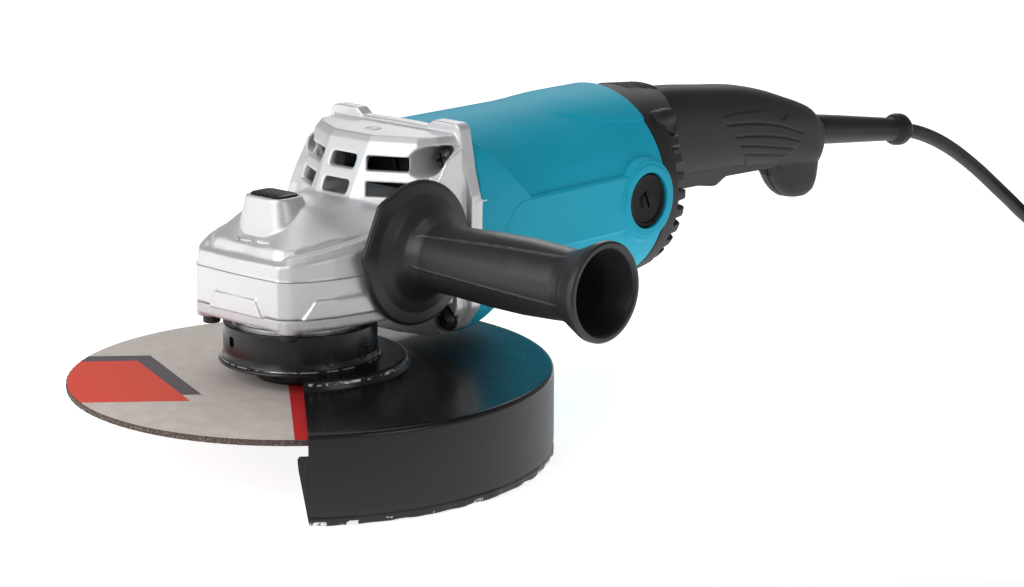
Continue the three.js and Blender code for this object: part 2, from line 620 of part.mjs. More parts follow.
function handleSolid(inset, count = 18) {
  const oval = (at) => Array.from({ length: count }, (_, i) => {
    const angle = (2 * Math.PI * i) / count;
    const round = (value) => Math.sign(value) * Math.abs(value) ** 0.84;
    return at(round(Math.cos(angle)), round(Math.sin(angle)));
  });
  const bar = loft(HANDLE_BAR.map(([x, low, high, wide]) => oval((u, v) => [
    Math.min(x, HANDLE_END - inset), u * (wide - inset), (low + high) / 2 + v * ((high - low) / 2 - inset),
  ])), acrossX);
  const hook = loft(HANDLE_HOOK.map(([z, front, back, wide]) => oval((u, v) => [
    (front + back) / 2 + u * ((back - front) / 2 - inset), v * (wide - inset), Math.max(z, 32.2 + inset),
  ])), acrossZ);
  return join(bar, hook);
}

// The cord leaves the handle sloping down by this angle.
const CORD_SLOPE = radians(7.6);
const RELIEF_START = [HANDLE_END, 0, 68.5];

// Turned about the sloping axis of the strain relief; distances start at the handle's end face.
function alongRelief(profile, sides) {
  const relief = revolve('x', profile, sides);
  return relief.rotate([0, (CORD_SLOPE * 180) / Math.PI, 0]).translate(RELIEF_START);
}

const strainRelief = () => alongRelief([
  [0, -12], [8.4, -12], [8.4, 0], [8.9, 2], [7, 81.5], [8.2, 83.5], [9.8, 86.5], [9.8, 90], [8, 93.97],
  [5, 93.97], [4.9, 93.6], [0, 93.6],
], 20);

function handleShell(side) {
  const hollow = handleSolid(3.4, 12);
  const slot = box(HANDLE_START - 1, PIVOT[0] + 8, -10.6, 10.6, 30, 69);
  const keptBelow = cut(handleSolid(0), coverSolid(2 * GAP, HOUSING_BACK - 5), hollow, slot);
  const reliefHole = alongRelief([[0, -20], [8.4 + GAP, -20], [8.4 + GAP, 3], [0, 3]], 20);
  const screwBosses = handleScrewPlaces.map(([x, z]) => cylinder('y', 6, -16, 16, [x, 0, z], 16));
  const screwHoles = handleScrewPlaces.flatMap(([x, z]) => [
    cylinder('y', 2.5 + GAP, -14, 30, [x, 0, z], 12), cylinder('y', 4.6, 13, 30, [x, 0, z], 16),
  ]);
  const half = side > 0 ? box(200, 500, GAP / 2, 60, 0, 150) : box(200, 500, -60, -GAP / 2, 0, 150);
  const bossed = join(keptBelow, ...screwBosses.map((boss) => boss.intersect(handleSolid(2))));
  return cut(bossed, reliefHole, ...screwHoles).intersect(half);
}

const handleScrewPlaces = [[348, 90], [392, 62]];
const handleScrew = ([x, z]) => revolve('y', [
  [0, -12], [2.5, -12], [2.5, 13 + GAP], [4.3, 13 + GAP], [4.3, 16], [0, 16],
], 14, [x, 0, z]);

// The trigger is a long paddle that is hinged at its rear end.
function triggerLever() {
  const paddle = prism('y', [
    [250, 64], [250, 56], [262, 54.4], [298, 53.4], [320, 51], [324, 51], [334, 55.2], [PIVOT[0] - 3, 54],
    [PIVOT[0] + 3, 55], [PIVOT[0] + 3, 59], [PIVOT[0] - 3, 60], [334, 60.5], [322, 64],
  ], -10, 10);
  return cut(paddle, lockSlot(GAP, 5));
}

function lockSlot(grow, travel) {
  return box(296 - grow, 306 + grow + travel, -4 - grow, 4 + grow, 40, 80);
}

const lockOffSlide = () => join(
  box(296, 306, -4, 4, 54.6, 64.6), box(297, 305, -7.5, 7.5, 64.6, 66.6),
);

const switchBody = () => box(272, 316, -10.5, 10.5, 74, 98);

// ---------- side handle ----------
function sideHandleGrip() {
  const [root, end] = [SIDE_HANDLE_ROOT, SIDE_HANDLE_END];
  const body = revolve('y', [
    [0, -root], [34.8, -root], [35.7, -root - 1.2], [35.7, -root - 2.6], [30, -root - 4.4], [24, -root - 8],
    [20, -root - 14], [18, -root - 20], [17, -root - 32], [17.2, -root - 55], [17.8, -root - 75],
    [17, -root - 95], [18.4, -end + 18], [22, -end + 6], [23.7, -end + 2], [23.2, -end], [20.8, -end],
    [18.6, -end + 6], [15, -end + 14], [13.4, -end + 28], [0, -end + 30],
  ], 24, sideHandleAt);
  return cut(body, cylinder('y', 6.3 + GAP, -root - 26, -root + 1, sideHandleAt, 20));
}

const sideHandleStud = () => cylinder(
  'y', 6.3, -SIDE_HANDLE_ROOT - 25, -SIDE_HANDLE_ROOT + 15, sideHandleAt, 20,
);

// ---------- cord ----------
// Middle line of the cord from the strain relief to the coil, chosen by hand.
const CORD_ROUTE = [
  [511.2, 0, 55.9], [528, 0, 51.6], [546, 0, 45.2], [564, 0, 37], [582, -0.3, 27], [600, -0.9, 15.6],
  [617, -1.4, 4], [633, -2, -7], [648, -2.6, -17.6], [658, -2.9, -23.8], [668, -3.2, -28.6],
];
const TAIL_ROUTE = [
  [668, -120.5, -5.6], [658, -120.5, -7], [646, -120.5, -11.6], [635, -120.5, -16.6], [627, -120.5, -19.4],
  [622, -120.5, -20], [616.8, -120.5, -20],
];
const PLUG_AT = [616.4, -120.5, FLOOR + 17];

function cordTube(route, steps) {
  const path = new THREE.CatmullRomCurve3(route.map((p) => new THREE.Vector3(...p)));
  const section = new THREE.Shape();
  section.absarc(0, 0, CORD_RADIUS, 0, 2 * Math.PI);
  return solid(new THREE.ExtrudeGeometry(section, { steps, curveSegments: 5, extrudePath: path }));
}

function cordCoil() {
  const half = COIL_COLUMNS * CORD_RADIUS;
  return tube(
    'z', COIL_MIDDLE - half, COIL_MIDDLE + half, FLOOR, FLOOR + COIL_ROWS * 2 * CORD_RADIUS,
    [...COIL_CENTRE, 0], 36,
  );
}

function mainsPlug() {
  const body = revolve('x', [
    [0, 0], [6, 0], [7, -2], [7.4, -12], [11, -17], [16.5, -24], [17, -30], [17, -45], [16, -46.5],
    [0, -46.5],
  ], 24, PLUG_AT);
  const pins = [1, -1].map((side) => cylinder(
    'x', 2.4, -65.5, -45, [PLUG_AT[0], PLUG_AT[1] + side * 9.5, PLUG_AT[2]], 10,
  ));
  return join(body, ...pins);
}

// ---------- assembly ----------
const sides = { left: 1, right: -1 };
const pieces = [
  ['gear_housing', gearHousing(), 'castSilver'],
  ['bearing_box', bearingBox(), 'castSilver'],
  ...boxScrewPlaces.map((at, k) => [`bearing_box_screw_${k + 1}`, bearingBoxScrew(at), 'blackSteel']),
  ['spindle', spindle(), 'steel'],
  ['spindle_bearing_lower', bearing('z', 7.5 + GAP, 17.5, 21, 32), 'steel'],
  ['spindle_bearing_upper', bearing('z', 5.7 + GAP, 11, 74.5, 82), 'steel'],
  ['bevel_gear', bevelGear(), 'steel'],
  ['bevel_pinion', bevelPinion(), 'steel'],
  ['shaft_lock_button', shaftLockButton(), 'blackPlastic'],
  ['shaft_lock_pin', shaftLockPin(), 'steel'],
  ['shaft_lock_spring', shaftLockSpring(), 'steel'],
  ['wheel_guard', wheelGuard(), 'guardBlack'],
  ['guard_clamp_screw', guardClampScrew(), 'blackSteel'],
  ['inner_flange', innerFlange(), 'blackSteel'],
  ['cutting_disc', cuttingDisc(), 'disc'],
  ['lock_nut', lockNut(), 'blackSteel'],
  ['armature_shaft', armatureShaft(), 'steel'],
  ['armature_core', armatureCore(), 'lamination'],
  ['front_winding', winding(98, 111.7), 'copper'],
  ['rear_winding', winding(168.3, 184), 'copper'],
  ['commutator', tube('x', 6 + GAP, 16, 187 + GAP, 211, onAxis, 24), 'copper'],
  ['cooling_fan', coolingFan(), 'blackPlastic'],
  ['front_armature_bearing', bearing('x', 7.2 + GAP, 17.5, 45, 56, onAxis), 'steel'],
  ['rear_armature_bearing', bearing('x', 4.7 + GAP, 13, 219.5, 227.5, onAxis), 'steel'],
  ['fan_baffle', fanBaffle(), 'blackPlastic'],
  ['field_core', fieldCore(), 'lamination'],
  ['field_coil_upper', fieldCoil(1), 'copper'],
  ['field_coil_lower', fieldCoil(-1), 'copper'],
  ['motor_housing', motorHousing(), 'teal'],
  ...corners.map((at, k) => [`housing_screw_${k + 1}`, housingScrew(at), 'blackSteel']),
  ...Object.entries(sides).flatMap(([name, side]) => [
    [`brush_holder_${name}`, brushHolder(side), 'brass'],
    [`carbon_brush_${name}`, carbonBrush(side), 'carbon'],
    [`brush_spring_${name}`, brushSpring(side), 'steel'],
    [`brush_cap_${name}`, brushCap(side), 'blackPlastic'],
    [`handle_shell_${name}`, handleShell(side), 'blackPlastic'],
  ]),
  ['rear_cover', rearCover(), 'blackPlastic'],
  ...handleScrewPlaces.map((at, k) => [`handle_screw_${k + 1}`, handleScrew(at), 'blackSteel']),
  ['trigger_lever', triggerLever(), 'blackPlastic'],
  ['lock_off_slide', lockOffSlide(), 'blackPlastic'],
  ['switch_body', switchBody(), 'blackPlastic'],
  ['strain_relief', strainRelief(), 'rubber'],
  ['side_handle_grip', sideHandleGrip(), 'blackPlastic'],
  ['side_handle_stud', sideHandleStud(), 'steel'],
  ['power_cord', cordTube(CORD_ROUTE, 12), 'rubber'],
  ['cord_coil', cordCoil(), 'rubber'],
  ['cord_tail', cordTube(TAIL_ROUTE, 4), 'rubber'],
  ['mains_plug', mainsPlug(), 'rubber'],
];
const onCord = ['power_cord', 'cord_coil', 'cord_tail', 'mains_plug'];

function mesh([name, body, material]) {
  const { vertProperties, triVerts } = body.getMesh();
  const geometry = new THREE.BufferGeometry();
  geometry.setAttribute('position', new THREE.Float32BufferAttribute(vertProperties, 3));
  geometry.setIndex([...triVerts]);
  geometry.computeVertexNormals();
  const piece = new THREE.Mesh(geometry, finish(material));
  piece.name = name;
  return piece;
}

const machine = new THREE.Group();
const extent = new THREE.Box3();
for (const piece of pieces.map(mesh)) {
  machine.add(piece);
  if (!onCord.includes(piece.name)) extent.union(new THREE.Box3().setFromObject(piece));
}
const middle = extent.getCenter(new THREE.Vector3());
machine.position.set(-middle.x, -middle.y, -extent.min.z);

const group = new THREE.Group();
group.add(machine);
export default group;
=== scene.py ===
# A 230 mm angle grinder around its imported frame.
# Shapes are written in millimetres in the model's own frame, whose origin is on the spindle axis in the
# disc's middle plane, and are moved to the row frame (metres) when a piece is finished.
import math
from functools import reduce

import bmesh
import bpy
import numpy as np
from mathutils import Euler, Matrix, Vector


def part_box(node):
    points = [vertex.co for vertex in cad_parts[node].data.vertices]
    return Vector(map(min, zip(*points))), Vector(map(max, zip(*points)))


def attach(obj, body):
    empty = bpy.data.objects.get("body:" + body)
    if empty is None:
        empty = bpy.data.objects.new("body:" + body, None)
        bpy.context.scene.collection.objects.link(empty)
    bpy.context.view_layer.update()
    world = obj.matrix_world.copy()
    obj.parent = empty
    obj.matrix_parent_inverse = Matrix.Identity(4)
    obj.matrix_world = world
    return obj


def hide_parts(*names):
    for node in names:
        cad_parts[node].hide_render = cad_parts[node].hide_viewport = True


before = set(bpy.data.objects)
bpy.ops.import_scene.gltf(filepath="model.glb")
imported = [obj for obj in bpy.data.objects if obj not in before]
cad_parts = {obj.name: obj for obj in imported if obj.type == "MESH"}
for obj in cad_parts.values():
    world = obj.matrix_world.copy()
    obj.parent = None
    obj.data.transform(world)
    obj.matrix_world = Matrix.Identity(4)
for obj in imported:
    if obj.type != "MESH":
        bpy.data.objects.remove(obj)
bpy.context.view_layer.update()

scene = bpy.context.scene

# ---------- the frame's own places ----------
MM = 0.001
DISC_LOW, DISC_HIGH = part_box("cutting_disc")
HUB = (DISC_LOW + DISC_HIGH) / 2
TO_ROW = Matrix.Translation(HUB) @ Matrix.Scale(MM, 4)
FLOOR_MM = -HUB.z / MM
GAP = 0.3  # between a piece and the hole it sits in
THREAD_PITCH = 2.0

# ---------- camera ----------
CAMERA_AT = (-1.14340, -0.97518, 0.41432)
CAMERA_TURN = (76.3205, -0.1931, -47.5577)
camera_data = bpy.data.cameras.new("camera")
camera_data.lens = 101.4
camera_data.sensor_width = 36
camera_data.clip_end = 60
camera = bpy.data.objects.new("camera", camera_data)
camera.location = CAMERA_AT
camera.rotation_euler = Euler([math.radians(angle) for angle in CAMERA_TURN])
scene.collection.objects.link(camera)
scene.camera = camera


# ---------- materials ----------
class Nodes:
    """Nodes added to a tree whose last node is already there."""

    def __init__(self, tree, last):
        self.tree = tree
        self.last = tree.nodes[last]

    def node(self, kind, inputs=None, **settings):
        node = self.tree.nodes.new("ShaderNode" + kind)
        for key, value in settings.items():
            setattr(node, key, value)
        for key, value in (inputs or {}).items():
            if isinstance(value, bpy.types.NodeSocket):
                self.tree.links.new(value, node.inputs[key])
            else:
                node.inputs[key].default_value = value
        return node

    def set(self, socket, value):
        self.tree.links.new(value, self.last.inputs[socket])

    def math(self, operation, *values):
        return self.node("Math", dict(enumerate(values)), operation=operation).outputs[0]

    def times(self, *values):
        return reduce(lambda a, b: self.math("MULTIPLY", a, b), values)

    def most(self, *values):
        return reduce(lambda a, b: self.math("MAXIMUM", a, b), values)

    def plus(self, a, b):
        return self.math("ADD", a, b)

    def above(self, value, limit):
        return self.math("GREATER_THAN", value, limit)

    def below(self, value, limit):
        return self.math("LESS_THAN", value, limit)

    def ramp(self, value, *stops):
        node = self.node("ValToRGB", {0: value})
        elements = node.color_ramp.elements
        while len(elements) < len(stops):
            elements.new(0.5)
        for element, (at, colour) in zip(elements, stops):
            element.position = at
            colour = (colour,) * 3 if isinstance(colour, (int, float)) else colour
            element.color = (*colour, 1)
        return node.outputs[0]

    def span(self, value, low, high, to_low=0.0, to_high=1.0, smooth=False):
        node = self.node(
            "MapRange", {0: value, 1: low, 2: high, 3: to_low, 4: to_high},
            interpolation_type="SMOOTHSTEP" if smooth else "LINEAR",
        )
        return node.outputs[0]

    def near(self, value, centre, half, edge):
        """1 where value is within half of centre, falling to 0 over edge."""
        away = self.math("ABSOLUTE", self.math("SUBTRACT", value, centre))
        return self.span(away, half, half + edge, 1.0, 0.0, smooth=True)

    def blend(self, share, under, over):
        node = self.node("Mix", data_type="RGBA")
        for key, value in ((0, share), (6, under), (7, over)):
            if isinstance(value, bpy.types.NodeSocket):
                self.tree.links.new(value, node.inputs[key])
            else:
                node.inputs[key].default_value = value if key == 0 else (*value, 1)
        return node.outputs[2]


class Shade(Nodes):
    """A material of the machine. where is the place in the model's own millimetres."""

    def __init__(self, name, **constants):
        self.material = bpy.data.materials.new(name)
        self.material.use_nodes = True
        super().__init__(self.material.node_tree, "Principled BSDF")
        for socket, value in constants.items():
            self.last.inputs[socket.replace("_", " ")].default_value = value
        self.place = self.node("TexCoord").outputs["Object"]
        moved = self.node("VectorMath", {0: self.place, 1: tuple(HUB)}, operation="SUBTRACT").outputs[0]
        self.where = self.node("VectorMath", {0: moved, "Scale": 1 / MM}, operation="SCALE").outputs[0]
        self.x, self.y, self.z = self.node("SeparateXYZ", {0: self.where}).outputs

    def from_axis(self):
        """Distance from the spindle's axis."""
        return self.math("SQRT", self.plus(self.times(self.x, self.x), self.times(self.y, self.y)))

    def noise(self, size, detail=3.0, rough=0.55, stretch=(1, 1, 1)):
        """Noise with features of about size millimetres."""
        place = self.node("VectorMath", {0: self.where, 1: stretch}, operation="MULTIPLY").outputs[0]
        made = self.node("TexNoise", {"Vector": place, "Scale": 1 / size, "Detail": detail, "Roughness": rough})
        return made.outputs[0]

    def cells(self, size):
        return self.node("TexVoronoi", {"Vector": self.where, "Scale": 1 / size}).outputs["Distance"]

    def stripes(self, scale, distortion, direction):
        place = {"Vector": self.where, "Scale": scale, "Distortion": distortion}
        return self.node("TexWave", place, bands_direction=direction).outputs[0]

    def colour(self, value):
        self.set("Base Color", value)

    def rough(self, value):
        self.set("Roughness", value)

    def bump(self, *layers):
        """Layers of (height, strength, distance in millimetres), each over the one before."""
        normal = None
        for height, strength, distance in layers:
            inputs = {"Height": height, "Strength": strength, "Distance": distance * MM}
            if normal is not None:
                inputs["Normal"] = normal
            normal = self.node("Bump", inputs).outputs[0]
        self.set("Normal", normal)


def cast_silver():
    s = Shade("cast_silver", Metallic=0.62, Specular_IOR_Level=0.5)
    grain = s.noise(0.35, 2.0, 0.7)
    cloud = s.noise(14, 3.0)
    flakes = s.cells(0.5)
    base = s.ramp(grain, (0.25, (0.62, 0.622, 0.632)), (0.75, (0.86, 0.862, 0.875)))
    base = s.blend(s.span(cloud, 0.3, 0.7, 0.0, 0.10), base, (0.66, 0.67, 0.69))
    # the casting's parting line round the head's walls: a fine groove whose shade is painted into the colour as a dark
    # line
    line = s.times(s.near(s.z, CREASE, 0.16, 0.14), s.below(s.x, 60))
    base = s.blend(s.times(line, 0.75), base, (0.16, 0.14, 0.14))
    s.colour(base)
    s.rough(s.span(grain, 0.3, 0.7, 0.36, 0.50))
    s.bump((cloud, 0.05, 0.4), (grain, 0.22, 0.05), (flakes, 0.10, 0.04), (line, 1.0, -0.2))
    return s.material


def sand_cast():
    s = Shade("sand_cast_silver", Metallic=0.6)
    grain = s.noise(0.5, 3.0, 0.75)
    s.colour(s.ramp(grain, (0.25, (0.42, 0.42, 0.43)), (0.75, (0.80, 0.80, 0.81))))
    s.rough(s.span(grain, 0.3, 0.7, 0.42, 0.58))
    s.bump((grain, 0.45, 0.09), (s.noise(6), 0.08, 0.3))
    return s.material


def turned_steel(name, tint=(0.72, 0.73, 0.74), rough=(0.16, 0.34), stretch=(1, 1, 14)):
    s = Shade(name, Metallic=1.0)
    lines = s.noise(1.6, 4.0, 0.7, stretch)
    spots = s.noise(5, 3.0)
    dark = tuple(0.72 * c for c in tint)
    s.colour(s.blend(s.span(spots, 0.45, 0.8, 0.0, 0.35), s.ramp(lines, (0.2, dark), (0.8, tint)), dark))
    s.rough(s.span(lines, 0.3, 0.7, *rough))
    s.bump((lines, 0.12, 0.03))
    return s.material


def black_steel(name="black_oxide", base=0.022, rough=(0.30, 0.46)):
    s = Shade(name, Metallic=0.35)
    fine = s.noise(0.6, 3.0, 0.65)
    wear = s.noise(3.5, 4.0, 0.7)
    black = s.ramp(fine, (0.2, base * 0.7), (0.8, base * 1.4))
    s.colour(s.blend(s.span(wear, 0.70, 0.76), black, (0.20, 0.20, 0.21)))
    s.rough(s.span(fine, 0.3, 0.7, *rough))
    s.bump((fine, 0.12, 0.04))
    return s.material


def moulded(name, dark, light, rough, grain, depth, strength, specular):
    """A moulded plastic with a fine texture, slight flow marks and rubbed spots."""
    s = Shade(name, Specular_IOR_Level=specular)
    texture = s.noise(grain, 2.0, 0.6)
    pits = s.cells(grain * 1.6)
    flow = s.noise(32, 2.0, 0.5, (1, 1, 2.2))
    dust = s.noise(0.9, 5.0, 0.8)
    base = s.ramp(flow, (0.3, dark), (0.7, light))
    dusty = tuple(0.75 * c + 0.055 for c in light)
    base = s.blend(s.span(dust, 0.66, 0.80, 0.0, 0.35), base, dusty)
    s.colour(base)
    s.rough(s.span(texture, 0.3, 0.7, *rough))
    s.bump((flow, 0.03, 0.5), (pits, strength * 0.6, depth), (texture, strength, depth))
    return s.material


def guard_paint():
    s = Shade("guard_paint", Specular_IOR_Level=0.42)
    fine = s.noise(0.8, 3.0, 0.6)
    orange_peel = s.noise(2.4, 2.0)
    long_way = s.noise(3.0, 4.0, 0.65)
    reach = s.from_axis()
    on_top = s.above(s.z, 4.6)
    black = s.ramp(fine, (0.25, (0.0065, 0.006, 0.0065)), (0.75, (0.0105, 0.0098, 0.0108)))
    # chips: along the hem, along the step's edge, over the flat top and on the collar's lower lip
    hem = s.times(
        s.near(s.z, FLOOR_MM + 1.2, 0.9, 0.5), s.span(s.noise(7.0, 3.0, 0.6), 0.57, 0.60),
        s.span(long_way, 0.42, 0.48),
    )
    step = s.times(
        s.near(reach, 53.0, 0.35, 0.2), s.span(s.noise(4.2, 4.0, 0.7), 0.50, 0.56), s.near(s.z, 10.6, 0.9, 0.5),
    )
    top = s.times(s.near(reach, 100, 26, 0.5), s.span(fine, 0.80, 0.84), on_top)
    lip = s.times(
        s.near(s.z, COLLAR_FOOT + 1.4, 0.5, 0.5), s.near(reach, 38.4, 1.0, 0.3),
        s.span(s.noise(4.5, 3.0), 0.42, 0.52),
    )
    bare = s.most(hem, step, top, lip)
    s.colour(s.blend(bare, black, (0.74, 0.73, 0.72)))
    s.set("Metallic", bare)
    s.rough(s.most(s.span(s.plus(fine, on_top), 0.3, 1.7, 0.46, 0.22), s.times(bare, 0.34)))
    s.bump((orange_peel, 0.04, 0.05), (fine, 0.05, 0.02), (bare, 0.6, -0.12))
    return s.material


def disc_paper():
    """A resin-bonded wheel with a printed paper face over its glass mesh."""
    s = Shade("disc_paper")
    reach = s.from_axis()
    grit = s.noise(0.45, 4.0, 0.75)
    speckle = s.cells(0.7)
    blotch = s.noise(9, 4.0, 0.65)
    # the mesh under the paper shows as faint short ridges
    weave = s.noise(1.5, 2.0, 0.5, (1.0, 2.4, 1.0))
    paper = s.ramp(blotch, (0.25, (0.60, 0.535, 0.490)), (0.75, (0.74, 0.675, 0.635)))
    paper = s.blend(s.span(grit, 0.35, 0.75, 0.0, 0.35), paper, (0.48, 0.41, 0.36))

    def rotated(degrees):
        """Distances along and across a direction in the disc's plane."""
        c, sn = math.cos(math.radians(degrees)), math.sin(math.radians(degrees))
        return s.plus(s.times(s.x, c), s.times(s.y, sn)), s.plus(s.times(s.x, -sn), s.times(s.y, c))

    def patch(low, high, start, slope):
        """A band of print between two parallel lines, cut off by a slanted one."""
        edge = s.plus(s.times(across, slope), start)
        return s.times(s.above(across, low), s.below(across, high), s.above(along, edge))

    along, across = rotated(136.5)
    red = patch(-30.0, 46.0, 70.4, -0.383)
    grey = patch(-40.0, 35.0, 60.9, -0.38)
    stripe_along, stripe_across = rotated(-131.5)
    stripe = s.times(s.near(stripe_across, -1.0, 5.8, 0.1), s.above(stripe_along, 0))
    worn = s.span(s.noise(1.2, 4.0, 0.75), 0.62, 0.8, 0.0, 0.4)
    face = s.blend(grey, paper, (0.125, 0.110, 0.118))
    face = s.blend(red, face, (0.80, 0.085, 0.050))
    face = s.blend(stripe, face, (0.62, 0.012, 0.012))
    face = s.blend(worn, face, (0.46, 0.40, 0.35))
    # a printed metal bush round the bore, and the bare grit of the rim and the underside
    face = s.blend(s.below(reach, 15.5), face, (0.55, 0.50, 0.40))
    bare = s.most(s.above(reach, 114.3), s.below(s.z, 1.2))
    stone = s.ramp(speckle, (0.15, (0.035, 0.022, 0.018)), (0.55, (0.10, 0.066, 0.056)), (0.9, (0.26, 0.20, 0.17)))
    s.colour(s.blend(bare, face, stone))
    s.rough(s.span(grit, 0.3, 0.7, 0.72, 0.92))
    s.bump((weave, 0.35, 0.12), (grit, 0.35, 0.08), (s.times(bare, speckle), 0.7, 0.25))
    return s.material


def wound_copper():
    s = Shade("wound_copper", Metallic=0.8)
    strands = s.stripes(0.9, 1.5, "DIAGONAL")
    s.colour(s.ramp(strands, (0.2, (0.16, 0.05, 0.02)), (0.8, (0.62, 0.24, 0.10))))
    s.rough(s.span(strands, 0.0, 1.0, 0.45, 0.25))
    s.bump((strands, 0.5, 0.3))
    return s.material


def laminations():
    s = Shade("laminations", Metallic=0.8)
    sheets = s.stripes(0.6, 0.1, "X")
    s.colour(s.ramp(sheets, (0.2, 0.10), (0.8, 0.32)))
    s.rough(s.span(s.noise(0.8), 0.3, 0.7, 0.4, 0.6))
    s.bump((sheets, 0.4, 0.1))
    return s.material


def cord_rubber():
    s = Shade("cord_rubber")
    fine = s.noise(0.5, 3.0, 0.6)
    s.colour(s.ramp(s.noise(12, 3.0), (0.3, (0.010, 0.0095, 0.0105)), (0.7, (0.016, 0.015, 0.017))))
    s.rough(s.span(fine, 0.3, 0.7, 0.45, 0.62))
    s.bump((fine, 0.2, 0.05))
    return s.material


COLLAR_FOOT = 10.5
CREASE = 59.5  # height of the head's parting line
SILVER = cast_silver()
SAND_CAST = sand_cast()
STEEL = turned_steel("turned_steel")
BLACK_STEEL = black_steel()
SCREW_STEEL = black_steel("screw_steel", 0.05, (0.22, 0.36))
GUARD_PAINT = guard_paint()
DISC_PAPER = disc_paper()
NECK_STEEL = turned_steel("polished_neck", (0.93, 0.93, 0.95), (0.22, 0.34))
TEAL = moulded("teal_plastic", (0.008, 0.40, 0.575), (0.012, 0.44, 0.62), (0.46, 0.58), 0.5, 0.03, 0.14, 0.2)
BLACK = moulded(
    "black_plastic", (0.0150, 0.0138, 0.0165), (0.0205, 0.0190, 0.0225), (0.48, 0.62), 0.8, 0.07, 0.34, 0.36,
)
GRIP = moulded(
    "grip_plastic", (0.0165, 0.0155, 0.0180), (0.0220, 0.0208, 0.0240), (0.34, 0.44), 0.6, 0.03, 0.14, 0.5,
)
CAP = moulded("cap_plastic", (0.0045, 0.0045, 0.0048), (0.0070, 0.0070, 0.0074), (0.30, 0.40), 0.9, 0.02, 0.10, 0.12)
RUBBER = moulded(
    "soft_rubber", (0.0075, 0.0070, 0.0080), (0.0115, 0.0105, 0.0120), (0.40, 0.54), 0.5, 0.04, 0.2, 0.36,
)
CORD = cord_rubber()
COPPER = wound_copper()
LAMINATED = laminations()
BRASS = turned_steel("pressed_brass", (0.72, 0.52, 0.20), (0.25, 0.40), (1, 6, 1))
CARBON = black_steel("pressed_carbon", 0.03, (0.6, 0.8))


# ---------- mesh code ----------
def mesh_object(name, points, faces):
    mesh = bpy.data.meshes.new(name)
    mesh.from_pydata([tuple(p) for p in points], [], faces)
    made = bpy.data.objects.new(name, mesh)
    scene.collection.objects.link(made)
    return made


def outward(obj, merge=1e-4):
    """Merges doubled points and turns all faces outwards."""
    edit = bmesh.new()
    edit.from_mesh(obj.data)
    bmesh.ops.remove_doubles(edit, verts=edit.verts, dist=merge)
    bmesh.ops.dissolve_degenerate(edit, edges=edit.edges, dist=merge)
    bmesh.ops.recalc_face_normals(edit, faces=edit.faces)
    if edit.calc_volume(signed=True) < 0:
        bmesh.ops.reverse_faces(edit, faces=edit.faces)
    edit.to_mesh(obj.data)
    edit.free()
    return obj


def skin(rings, ends=True, name="part"):
    """A skin over rings of equally many points, with flat ends or closed on itself."""
    rings = np.asarray(rings, float)
    count, n, _ = rings.shape
    last = count - 1 if ends else count
    row = (np.arange(last) * n)[:, None]
    step = np.arange(n)[None, :]
    after = (np.arange(1, last + 1) % count * n)[:, None]
    quads = np.stack([row + step, row + (step + 1) % n, after + (step + 1) % n, after + step], -1)
    faces = quads.reshape(-1, 4).tolist()
    if ends:
        faces += [list(range(n))[::-1], list(range((count - 1) * n, count * n))]
    return outward(mesh_object(name, rings.reshape(-1, 3), faces))


def soft(points, closed=False, steps=4):
    """Rounds each corner that gives a radius: points are (u, v) or (u, v, radius)."""
    out = []
    n = len(points)
    for i, point in enumerate(points):
        here = np.array(point[:2], float)
        radius = point[2] if len(point) > 2 else 0
        if radius <= 0 or (not closed and i in (0, n - 1)):
            out.append(tuple(here))
            continue
        before = np.array(points[i - 1][:2], float) - here
        after = np.array(points[(i + 1) % n][:2], float) - here
        half = math.acos(np.clip(before @ after / np.linalg.norm(before) / np.linalg.norm(after), -1, 1)) / 2
        if half > 1.56:
            out.append(tuple(here))
            continue
        reach = min(radius / math.tan(half), 0.48 * np.linalg.norm(before), 0.48 * np.linalg.norm(after))
        start = here + before / np.linalg.norm(before) * reach
        end = here + after / np.linalg.norm(after) * reach
        for t in np.linspace(0, 1, steps + 1):
            out.append(tuple((1 - t) ** 2 * start + 2 * t * (1 - t) * here + t * t * end))
    return out


AXES = {"x": [2, 0, 1], "y": [0, 2, 1], "z": [0, 1, 2]}


def on_axis(axis, u, v, along):
    """Points whose along coordinate lies on an axis: x takes u, v as y, z; y as x, z; z as x, y."""
    return np.stack(np.broadcast_arrays(u, v, along), -1)[..., AXES[axis]]


def around(sides):
    """Angles evenly round a circle."""
    return np.arange(sides) * 2 * math.pi / sides


def ring_on(axis, radius, angle, along):
    """A ring round an axis; the radius and the place along it are numbers or go with the angles."""
    return on_axis(axis, radius * np.cos(angle), radius * np.sin(angle), along)


def thread_ring(axis, radius, depth, angle, along):
    phase = (along / THREAD_PITCH - angle / (2 * math.pi)) % 1
    return ring_on(axis, radius - depth * np.abs(2 * phase - 1), angle, along)


def one_side(side, near, far):
    """The lower and upper end of a span from near to far on one side of the middle plane."""
    return sorted((side * near, side * far))


def prism(axis, outline, low, high, bevel=0.0):
    """An outline extruded along an axis, with its two end edges rounded by bevel."""
    outline = np.array([p[:2] for p in outline], float)
    if not bevel:
        return skin([on_axis(axis, *outline.T, low), on_axis(axis, *outline.T, high)])
    middle = outline.mean(0)
    inset = middle + (outline - middle) * (1 - bevel / np.linalg.norm(outline - middle, axis=1))[:, None]
    turns = np.linspace(0, math.pi / 2, 4)
    rings = []
    for end, way, order in ((low, 1, turns), (high, -1, turns[::-1])):
        for t in order:
            flat = inset + (outline - inset) * math.sin(t)
            rings.append(on_axis(axis, *flat.T, end + way * bevel * (1 - math.cos(t))))
    return skin(rings)


def revolve(axis, profile, centre=(0, 0, 0), sides=96, closed=False, steps=4):
    """A turned piece from (radius, distance along) corners, each with an optional rounding radius."""
    line = soft(profile, closed, steps)
    made = skin([ring_on(axis, r, around(sides), h) for r, h in line], ends=not closed)
    made.data.transform(Matrix.Translation(centre))
    return made


